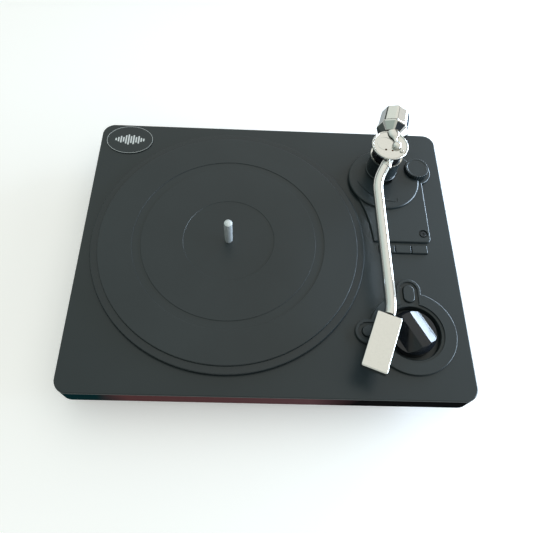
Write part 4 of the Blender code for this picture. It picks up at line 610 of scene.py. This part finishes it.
# Blackened steel: dark, oily and satin.
black_steel, place = substance("blackened_steel", "#3a3c3e", 0.34, 0.85)
cloud = add(black_steel, "TexNoise", {"Vector": place, "Scale": 1.0 / (2.5 * MM), "Detail": 3.0})
add(black_steel, "ValToRGB", {"Fac": cloud}, stops=((0.3, "#323436"), (0.7, "#44474a")),
    into="Base Color")
screw_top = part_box("plate_screw")[1].z / MM
screw = turned("board_screw",
               [(0.0, 32.3), (1.5, 32.3), (1.5, screw_top - 0.9), (3.0, screw_top - 0.9),
                (3.0, screw_top - 0.3), (2.7, screw_top), (0.0, screw_top)], at, 48)
cross_recess(screw, at, screw_top * MM, 1.5 * MM, 0.7 * MM)
dress(screw, "chassis", "dark_metal", black_steel, "plate_screw")

# ---- Base of the arm ------------------------------------------------------------------
# A second round ABS step on the plate carries the arm's pillar. A hairline arc with a
# short stop line is moulded into it, and it is notched for the dial.
step = turned("arm_step",
              [(8.3, 41.0), (34.4, 41.0), (34.4, 41.6), (34.28, 42.1), (33.9, 42.6), (33.3, 42.95),
               (32.7, 43.1), (8.3, 43.1)], base_at, 192)
shape_with(step, rod("notch", 12.1 * MM, base_low.z - MM, base_high.z + MM, dial_at.x, dial_at.y))
ARC_AT = Vector((120.5 * MM, 88.2 * MM))
ARC_R = 38.8 * MM
hair = bow(ARC_AT, ARC_R + 0.4 * MM, math.radians(-156), math.radians(-91), 40)
hair += reversed(bow(ARC_AT, ARC_R - 0.4 * MM, math.radians(-156), math.radians(-91), 40))
shape_with(step, prism("hairline", hair, base_high.z - 0.4 * MM, base_high.z + MM))
stop = block("stop_line", (121.3 * MM, 49.0 * MM, base_high.z - 0.45 * MM),
             (122.1 * MM, 53.6 * MM, base_high.z + MM))
shape_with(step, stop)
dress(step, "chassis", "trim_plastic", satin_abs, "arm_base_disc")

# ---- Pillar, its bright ring and the fork ---------------------------------------------
# The pillar is a painted tube with a small bright foot, clamped under the deck. A
# chromed ring closes its top, and a dark fork turns in it and carries the arm.
pillar = turned("arm_pillar",
                [(0.0, 26.3), (8.0, 26.3), (8.0, 43.4), (15.0, 43.4), (15.4, 43.7), (15.4, 44.5),
                 (15.1, 44.9), (14.6, 45.2), (14.6, 63.8), (14.3, 64.2), (13.9, 64.3),
                 (6.9, 64.3), (6.9, 56.0), (4.6, 56.0), (4.6, 29.3), (0.0, 29.3)], pivot, 128)
dress(pillar, "chassis", "platter_paint", satin_paint, "arm_post")

# Chrome plate over polished metal: bright, a little warm, and clean. Fine wiping marks
# 1.5 mm apart blur it very slightly.
chrome, place = substance("chrome_plate", "#e4e2dc", 0.06, 1.0, Specular_Tint=linear("#56606c"))
wipe = add(chrome, "TexNoise", {"Vector": place, "Scale": 1.0 / (1.5 * MM), "Detail": 3.0})
add(chrome, "MapRange", {"Value": wipe, "To Min": 0.045, "To Max": 0.075}, into="Roughness")
add(chrome, "ValToRGB", {"Fac": wipe}, stops=((0.3, "#e3e1db"), (0.7, "#e6e4de")),
    into="Base Color")
ring = turned("pillar_ring",
              [(13.3, 64.6), (14.8, 64.6), (15.1, 64.7), (15.2, 65.0), (15.2, 65.7), (15.1, 66.0),
               (14.8, 66.1), (13.6, 66.1), (13.3, 65.9)], pivot, 128)
dress(ring, "chassis", "chrome_plate", chrome, "arm_trim_ring")
for node in ("swing_yoke", "arm_block", "volume_pot"):
    paint_node(node, black_steel)

# ---- Cap over the pivot ---------------------------------------------------------------
# A chromed dish with a beaded rim covers the pivot. It has a shallow raised disc, two
# pin holes, a domed hub with a short neck to the back, and a small screw by its rim.
cap = turned("pivot_dish",
             [(0.0, 77.7), (16.0, 77.7), (16.6, 77.85), (16.9, 78.3), (16.9, 79.3), (16.75, 79.75),
              (16.45, 80.02), (16.1, 80.1), (15.75, 80.02), (15.5, 79.75), (15.3, 79.45),
              (15.0, 79.3), (0.0, 79.3)], pivot, 144)
relief = turned("relief", [(0.0, 78.6), (7.6, 78.6), (7.6, 79.42), (7.3, 79.55), (6.2, 79.62),
                           (0.0, 79.62)], pivot + Vector((-4.2, 1.6, 0.0)) * MM, 72)
shape_with(cap, relief, "UNION")
PIN_HOLES = ((-4.4, -5.5), (1.6, -6.2))
for x, y in PIN_HOLES:
    shape_with(cap, rod("pin_hole", 1.0 * MM, 78.4 * MM, 81.0 * MM, pivot.x + x * MM,
                        pivot.y + y * MM, 24))
dress(cap, "tonearm", "chrome_plate", chrome, "pivot_cap")


def settle(piece, matrix):
    """Puts a piece that was built flat at its place on the arm."""
    piece.matrix_world = matrix
    bpy.ops.object.select_all(action="DESELECT")
    piece.select_set(True)
    bpy.context.view_layer.objects.active = piece
    bpy.ops.object.transform_apply(location=True, rotation=True, scale=True)


hub_at = middle("cap_nut")
hub = turned("cap_hub",
             [(0.0, 79.6), (4.2, 79.6), (4.2, 80.6), (4.05, 81.3), (3.6, 82.0), (2.9, 82.5),
              (1.9, 82.85), (0.9, 82.98), (0.0, 83.0)], hub_at, 64)
lip_at = pivot + Vector((4.30, 16.6, 0.0)) * MM
run = (lip_at - hub_at).xy
bell = turned("bell", [(0.0, 0.0), (1.5, 0.0), (1.5, 6.0), (1.9, 7.6), (3.0, 9.4), (4.2, 10.6),
                       (4.9, 12.2), (5.2, 14.2), (5.2, run.length / MM - 0.4),
                       (4.9, run.length / MM), (0.0, run.length / MM)], Vector((0.0, 0.0)), 64)
settle(bell, Matrix.Translation((hub_at.x, hub_at.y, 80.25 * MM))
       @ Matrix.Diagonal((1.0, 1.0, 0.5, 1.0))
       @ Vector((run.x, run.y, 0.0)).to_track_quat("Z", "Y").to_matrix().to_4x4())
shape_with(bell, block("under", (hub_at.x - 30 * MM, hub_at.y - 30 * MM, 70 * MM),
                       (hub_at.x + 30 * MM, hub_at.y + 30 * MM, 80.25 * MM)))
shape_with(hub, bell, "UNION")
dress(hub, "tonearm", "chrome_plate", chrome, "cap_nut", angle=50.0)

# Brown pins in the two pin holes: their dark brown is painted shade of the holes, with a tone
# that varies a little.
hole_shade_paint, place = substance("brown_hole_shade_paint", "#5b3c22", 0.45, 1.0)
cloud = add(hole_shade_paint, "TexNoise", {"Vector": place, "Scale": 1.0 / (0.6 * MM)})
add(hole_shade_paint, "ValToRGB", {"Fac": cloud}, stops=((0.3, "#43290f"), (0.7, "#74502f")),
    into="Base Color")
for i, (x, y) in enumerate(PIN_HOLES):
    peg = turned("cap_pin_%d" % i, [(0.0, 78.5), (0.85, 78.5), (0.85, 79.15), (0.6, 79.3),
                                    (0.0, 79.36)], pivot + Vector((x, y, 0.0)) * MM, 24)
    dress(peg, "tonearm", "bright_steel", hole_shade_paint)
rivet_at = pivot + Vector((9.9, -6.9, 0.0)) * MM
rivet = turned("dish_screw",
               [(0.0, 79.45), (1.7, 79.45), (1.7, 79.9), (1.5, 80.25), (0.9, 80.5), (0.0, 80.55)],
               rivet_at, 40)
shape_with(rivet, block("slot", (rivet_at.x - 0.2 * MM, rivet_at.y - 2 * MM, 80.2 * MM),
                        (rivet_at.x + 0.2 * MM, rivet_at.y + 2 * MM, 81.0 * MM)))
dress(rivet, "tonearm", "chrome_plate", chrome)

# ---- Arm tube -------------------------------------------------------------------------
# The chromed tube leaves the pivot block, bends, runs straight to the front and bends
# again into the headshell, falling a little all the way.
TUBE_R = 4.9
OUT = Vector((-0.42, -0.91)).normalized()
AIM = Vector((-math.sin(math.radians(20.6)), -math.cos(math.radians(20.6))))
tube_start = Vector((-1.0, -9.3 - TUBE_R * abs(OUT.x)))
tube_bend = Vector((-13.4, -46.0))
tube_turn = Vector((-11.6, -142.0))
shell_back = Vector((-13.45, -163.3))
straight = (tube_turn - tube_bend) / 3.0
stops = ((tube_start, tube_start - OUT * 5.0, tube_start + OUT * 14.0),
         (tube_bend, tube_bend + Vector((0.0, 14.0)), tube_bend + straight),
         (tube_turn, tube_turn - straight, tube_turn + Vector((0.0, -10.0))),
         (shell_back, shell_back - AIM * 6.0, shell_back + AIM * 5.0))


def along_arm(point):
    """A place on the tube's falling centre line, in metres."""
    fall = 0.4 + 7.6 * (tube_start.y - point.y) / (tube_start.y - shell_back.y)
    return pivot + Vector((point.x, point.y, -fall)) * MM


bpy.ops.object.select_all(action="DESELECT")
bpy.ops.curve.primitive_bezier_curve_add()
tube = bpy.context.object
tube.name = "arm_pipe"
line = tube.data
line.splines[0].bezier_points.add(len(stops) - 2)
for corner, (at, before, after) in zip(line.splines[0].bezier_points, stops):
    corner.handle_left_type = corner.handle_right_type = "FREE"
    corner.co, corner.handle_left, corner.handle_right = map(along_arm, (at, before, after))
line.dimensions = "3D"
line.resolution_u = 24
line.bevel_depth = TUBE_R * MM
line.bevel_resolution = 10
line.use_fill_caps = True
bpy.ops.object.convert(target="MESH")
bpy.ops.object.transform_apply(location=True, rotation=True, scale=True)
tube.data.name = "arm_pipe"
dress(tube, "tonearm", "chrome_plate", chrome, "arm_tube", flat=False)


def facing_along(at, way):
    """Turns +Z to a direction, at a place."""
    return Matrix.Translation(at) @ way.to_track_quat("Z", "Y").to_matrix().to_4x4()


# The collar is two small beads where the tube leaves the dish.
collar_flat = Vector((-4.45, -19.3))
collar_ahead = (along_arm(collar_flat + OUT) - along_arm(collar_flat)).normalized()
collar = turned("tube_collar",
                [(4.95, -1.7), (5.3, -1.5), (5.5, -1.0), (5.45, -0.5), (5.2, -0.1), (5.4, 0.3),
                 (5.4, 0.8), (5.25, 1.3), (4.95, 1.5)], Vector((0.0, 0.0)), 64)
settle(collar, facing_along(along_arm(collar_flat), collar_ahead))
dress(collar, "tonearm", "chrome_plate", chrome)

# ---- Headshell and cartridge ----------------------------------------------------------
# The headshell is a plain chromed block with small radii. A black cartridge hangs under
# it with a stylus carrier and a thin cantilever.
shell_frame = (Matrix.Translation(pivot + Vector((shell_back.x, shell_back.y, -8.0)) * MM)
               @ Matrix.Rotation(-math.radians(20.6), 4, "Z"))
shell = block("head_block", Vector((-10.3, -48.9, -3.5)) * MM, Vector((10.3, -0.7, 3.5)) * MM)
soften(shell, 1.2 * MM, 5, standing)
soften(shell, 0.8 * MM, 4, lambda edge: outward(3.5 * MM)(edge) or outward(-3.5 * MM)(edge))
settle(shell, shell_frame)
dress(shell, "tonearm", "chrome_plate", chrome, "headshell")

body = block("cartridge_body", Vector((-6.0, -40.0, -14.8)) * MM, Vector((6.0, -16.0, -3.8)) * MM)
soften(body, 1.0 * MM, 3, standing)
soften(body, 2.2 * MM, 4, outward(-14.8 * MM))
for y in (-37.0, -34.5, -32.0):
    shape_with(body, block("groove", Vector((-7.0, y - 0.4, -9.0)) * MM,
                           Vector((-5.6, y + 0.4, -5.0)) * MM))
    shape_with(body, block("groove", Vector((5.6, y - 0.4, -9.0)) * MM,
                           Vector((7.0, y + 0.4, -5.0)) * MM))
settle(body, shell_frame)
dress(body, "tonearm", "pan_plastic", matt_abs, "cartridge")

stylus_red, place = substance("red_polystyrene", "#a3181a", 0.28)
cloud = add(stylus_red, "TexNoise", {"Vector": place, "Scale": 1.0 / (2.0 * MM)})
add(stylus_red, "ValToRGB", {"Fac": cloud}, stops=((0.3, "#971517"), (0.7, "#ad1c1e")),
    into="Base Color")
grip = block("stylus_grip", Vector((-3.0, -34.0, -17.0)) * MM, Vector((3.0, -23.0, -15.1)) * MM)
soften(grip, 0.6 * MM, 3, standing)
soften(grip, 0.5 * MM, 3, outward(-17.0 * MM))
settle(grip, shell_frame)
dress(grip, "tonearm", "stylus_plastic", stylus_red, "stylus")
needle = turned("needle", [(0.0, -18.5), (0.28, -18.1), (0.45, -17.6), (0.45, -17.02),
                           (0.0, -17.02)], Vector((0.0, -30.0 * MM)), 20)
settle(needle, shell_frame)
dress(needle, "tonearm", "bright_steel", turned_steel)

# ---- Counterweight --------------------------------------------------------------------
# An eight-sided chromed weight with a short cone and a bright lip towards the pivot. It
# slides on a steel stub behind the pivot block.
paint_node("rear_stub", turned_steel)


def from_frame(node, name):
    """A clean copy of a CAD node's mesh to work on."""
    made = bpy.data.objects.new(name, frame["nodes"][node].data.copy())
    bpy.context.scene.collection.objects.link(made)
    bpy.ops.object.select_all(action="DESELECT")
    made.select_set(True)
    bpy.context.view_layer.objects.active = made
    bpy.ops.object.mode_set(mode="EDIT")
    bpy.ops.mesh.select_all(action="SELECT")
    bpy.ops.mesh.remove_doubles(threshold=1e-6)
    bpy.ops.mesh.dissolve_limited(angle_limit=math.radians(1.0))
    bpy.ops.object.mode_set(mode="OBJECT")
    made.data.name = name
    return made


def ease(piece, width, segments, angle):
    """Rounds every edge that is sharper than an angle."""
    bend = piece.modifiers.new("ease", "BEVEL")
    bend.width = width
    bend.segments = segments
    bend.limit_method = "ANGLE"
    bend.angle_limit = math.radians(angle)
    bpy.context.view_layer.objects.active = piece
    bpy.ops.object.modifier_apply(modifier=bend.name)


weight = from_frame("counterweight", "balance_weight_body")
ease(weight, 0.35 * MM, 3, 12.0)
dress(weight, "balance_weight", "chrome_plate", chrome, "counterweight")

# ---- Dial on the arm board ------------------------------------------------------------
# A small gloss ABS dial with fine ribs round its side and a plain flat top, for the
# arm's side force.
gloss_abs, place = substance("gloss_black_abs", "#14161a", 0.13)
smear = add(gloss_abs, "TexNoise", {"Vector": place, "Scale": 1.0 / (6.0 * MM), "Detail": 3.0})
add(gloss_abs, "MapRange",
    {"Value": smear, "From Min": 0.3, "From Max": 0.7, "To Min": 0.1, "To Max": 0.2},
    into="Roughness")
add(gloss_abs, "ValToRGB", {"Fac": smear}, stops=((0.3, "#121418"), (0.7, "#171a1f")),
    into="Base Color")
DIAL_R = 11.5 * MM
RIBS = 30
dial_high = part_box("antiskate_dial")[1]
ribbed = [(dial_at.x + (DIAL_R - 0.25 * MM * (1.0 - math.cos(RIBS * a))) * math.cos(a),
           dial_at.y + (DIAL_R - 0.25 * MM * (1.0 - math.cos(RIBS * a))) * math.sin(a))
          for a in (i * 2.0 * math.pi / (RIBS * 8) for i in range(RIBS * 8))]
dial = prism("side_force_dial", ribbed, 41.0 * MM, dial_high.z)
soften(dial, 0.35 * MM, 3, outward(dial_high.z))
shape_with(dial, rod("dial_shaft", 2.5 * MM, 31.3 * MM, 42.0 * MM, dial_at.x, dial_at.y, 32),
           "UNION")
shape_with(dial, turned("dish", [(0.0, 46.75), (9.2, 46.75), (9.6, 47.01), (9.6, 48.0),
                                 (0.0, 48.0)], dial_at, 96))
dress(dial, "antiskate_knob", "gloss_black", satin_abs, "antiskate_dial")

# ---- Speed keys -----------------------------------------------------------------------
# Three flat ABS keys side by side in slots before the plate, each with a lip under the
# deck that holds it and a plunger to its switch.
for key, name in zip(KEYS, ("left_speed_key", "middle_speed_key", "right_speed_key")):
    made = from_frame(key, name)
    ease(made, 0.3 * MM, 3, 30.0)
    dress(made, "key_" + key[-2:], "trim_plastic", satin_abs, key)

# ---- Control surround -----------------------------------------------------------------
# A raised ABS surround with two lobes. A step inside its rim follows the same outline,
# and the cup in its middle takes the volume knob.
SURROUND_R = 36.8 * MM
INNER_R = 26.5 * MM
LOBE = 10.75 * MM
LOBE_RIM = 2.6 * MM
LOBE_REACH = 49.6 * MM - LOBE
CUP_R = 24.0 * MM
surround_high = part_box("control_bezel")[1].z


def lobed(radius, half):
    """The outline of a circle with one lobe to the back and one to the left."""
    side = math.asin(half / radius)
    points = bow(knob_at, radius, side - math.pi, math.pi / 2.0 - side, 128)
    points += bow(knob_at + Vector((0.0, LOBE_REACH, 0.0)), half, 0.0, math.pi, 32)
    points += bow(knob_at, radius, math.pi / 2.0 + side, math.pi - side, 24)
    points += bow(knob_at - Vector((LOBE_REACH, 0.0, 0.0)), half, math.pi / 2.0,
                  1.5 * math.pi, 32)
    return points


surround = prism("control_surround", lobed(SURROUND_R, LOBE), DECK_TOP + 0.3 * MM, surround_high)
soften(surround, 0.8 * MM, 3, outward(surround_high))
sunk = prism("sunk", lobed(INNER_R, LOBE - LOBE_RIM), surround_high - 1.4 * MM,
             surround_high + MM)
soften(sunk, 0.35 * MM, 2, outward(surround_high - 1.4 * MM))
shape_with(surround, sunk)
shape_with(surround, rod("cup", CUP_R + 1.6 * MM, 30.7 * MM, DECK_TOP + 1.2 * MM, knob_at.x,
                         knob_at.y, 128), "UNION")
shape_with(surround, turned("cup_hole",
                            [(0.0, 29.0), (4.8, 29.0), (4.8, 32.3), (23.6, 32.3), (24.0, 32.7),
                             (24.0, 39.2), (24.5, 39.52), (24.5, 42.0), (0.0, 42.0)],
                            knob_at, 128))
for button, along in (("button_top", "Y"), ("button_left", "X")):
    shape_with(surround, pill("slot", 10.4 * MM, 16.9 * MM, DECK_TOP, surround_high + MM,
                              middle(button), along))
dress(surround, "chassis", "trim_plastic", satin_abs, "control_bezel")

# ---- Volume knob ----------------------------------------------------------------------
# A large gloss black knob: a flared skirt, a steep cone and a flat grip bar across it,
# left standing between two sloping cuts.
KNOB_TURN = math.radians(-61.3)
knob = turned("big_knob",
              [(0.0, 41.1), (3.3, 41.1), (3.3, 35.9), (7.5, 35.9), (7.5, 32.9), (19.2, 32.9),
               (19.5, 33.3), (19.5, 40.5), (19.4, 40.9), (16.0, 47.2), (15.9, 47.4),
               (15.5, 47.75), (15.2, 47.8), (0.0, 47.8)], knob_at, 160)
for side in (-1, 1):
    run = (14.8 - 4.3) / 7.0
    wedge = [(4.3 - run, 48.8), (14.8, 40.8), (40.0, 40.8), (40.0, 48.8)]
    cutter = ring_of("grip_cut", [(-40 * MM, side * a * MM, z * MM) for a, z in wedge], "NGON")
    bpy.ops.object.mode_set(mode="EDIT")
    bpy.ops.mesh.select_all(action="SELECT")
    bpy.ops.mesh.extrude_region_move(TRANSFORM_OT_translate={"value": (80 * MM, 0.0, 0.0)})
    bpy.ops.mesh.select_all(action="SELECT")
    bpy.ops.mesh.normals_make_consistent(inside=False)
    bpy.ops.object.mode_set(mode="OBJECT")
    settle(cutter, Matrix.Translation((knob_at.x, knob_at.y, 0.0))
           @ Matrix.Rotation(KNOB_TURN, 4, "Z"))
    shape_with(knob, cutter)
ease(knob, 0.25 * MM, 2, 24.0)
dress(knob, "volume_control", "gloss_black", gloss_abs, "volume_knob")

# ---- Push buttons ---------------------------------------------------------------------
# Two pill-shaped ABS buttons in the lobes, with rounded tops. A lip holds each under the
# deck.
for button, body_name, along in (("button_top", "start_button", "Y"),
                                 ("button_left", "source_button", "X")):
    at = middle(button)
    low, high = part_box(button)
    made = pill("pill_" + button, 9.8 * MM, 16.3 * MM, 35.0 * MM, high.z, at, along)
    soften(made, 0.9 * MM, 4, outward(high.z))
    shape_with(made, pill("lip", 13.0 * MM, 19.5 * MM, 33.7 * MM, 35.0 * MM, at, along), "UNION")
    shape_with(made, rod("stem", 1.5 * MM, low.z, 34.0 * MM, at.x, at.y, 32), "UNION")
    dress(made, body_name, "gloss_black", satin_abs, button)

# ---- Badge ----------------------------------------------------------------------------
# A thin oval metal badge, stuck on. It has a bright hairline border and a plain printed
# row of level bars.
silver_print, place = substance("silver_print", "#d9dcdc", 0.35, 0.0)
cloud = add(silver_print, "TexNoise", {"Vector": place, "Scale": 1.0 / (1.2 * MM)})
add(silver_print, "ValToRGB", {"Fac": cloud}, stops=((0.3, "#cdd1d1"), (0.7, "#e4e6e6")),
    into="Base Color")
badge_low, badge_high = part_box("badge")
badge_at = middle("badge")


def oval(reach_x, reach_y, sides=128):
    """Points round the badge's outline."""
    return [(badge_at.x + reach_x * math.cos(i * 2.0 * math.pi / sides),
             badge_at.y + reach_y * math.sin(i * 2.0 * math.pi / sides)) for i in range(sides)]


plate = prism("oval_badge", oval(23.0 * MM, 17.25 * MM), badge_low.z, badge_high.z)
soften(plate, 0.2 * MM, 2, outward(badge_high.z))
dress(plate, "chassis", "dark_metal", satin_abs, "badge")
border = prism("badge_border", oval(22.7 * MM, 16.95 * MM), badge_high.z + 0.01 * MM,
               badge_high.z + 0.09 * MM)
shape_with(border, prism("inner", oval(22.42 * MM, 16.67 * MM), badge_high.z - MM,
                         badge_high.z + MM))
dress(border, "chassis", "bright_steel", silver_print)
BARS = (3.0, 5.5, 8.5, 6.0, 10.5, 13.0, 9.0, 11.5, 7.0, 9.5, 5.0, 3.5)
for i, tall in enumerate(BARS):
    x = badge_at.x + (i - (len(BARS) - 1) / 2.0) * 2.5 * MM
    bar = block("level_bar_%02d" % i,
                (x - 0.75 * MM, badge_at.y - tall / 2.0 * MM, badge_high.z + 0.01 * MM),
                (x + 0.75 * MM, badge_at.y + tall / 2.0 * MM, badge_high.z + 0.09 * MM))
    soften(bar, 0.5 * MM, 4, standing)
    dress(bar, "chassis", "bright_steel", silver_print)

# ---- Boards and sockets ---------------------------------------------------------------
# Inside are three green circuit boards. In the back wall are a power jack and two phono
# sockets with white and red inserts and plated collars.
solder_mask, place = substance("green_solder_mask", "#1d5a34", 0.35)
add(solder_mask, "TexBrick",
    {"Vector": place, "Scale": 1.0 / (4.0 * MM), "Color1": linear("#1d5a34"),
     "Color2": linear("#236a3d"), "Mortar": linear("#174a2a")}, into="Base Color")
for node in ("main_board", "control_board", "speed_switch_bank"):
    paint_node(node, solder_mask)
paint_node("dc_jack", matt_abs)
white_insert, place = substance("white_polypropylene", "#dcdcd8", 0.35)
cloud = add(white_insert, "TexNoise", {"Vector": place, "Scale": 1.0 / (2.0 * MM)})
add(white_insert, "ValToRGB", {"Fac": cloud}, stops=((0.3, "#d6d6d2"), (0.7, "#e2e2de")),
    into="Base Color")
for node, insert in (("phono_socket_left", white_insert), ("phono_socket_right", stylus_red)):
    paint_node(node, insert)
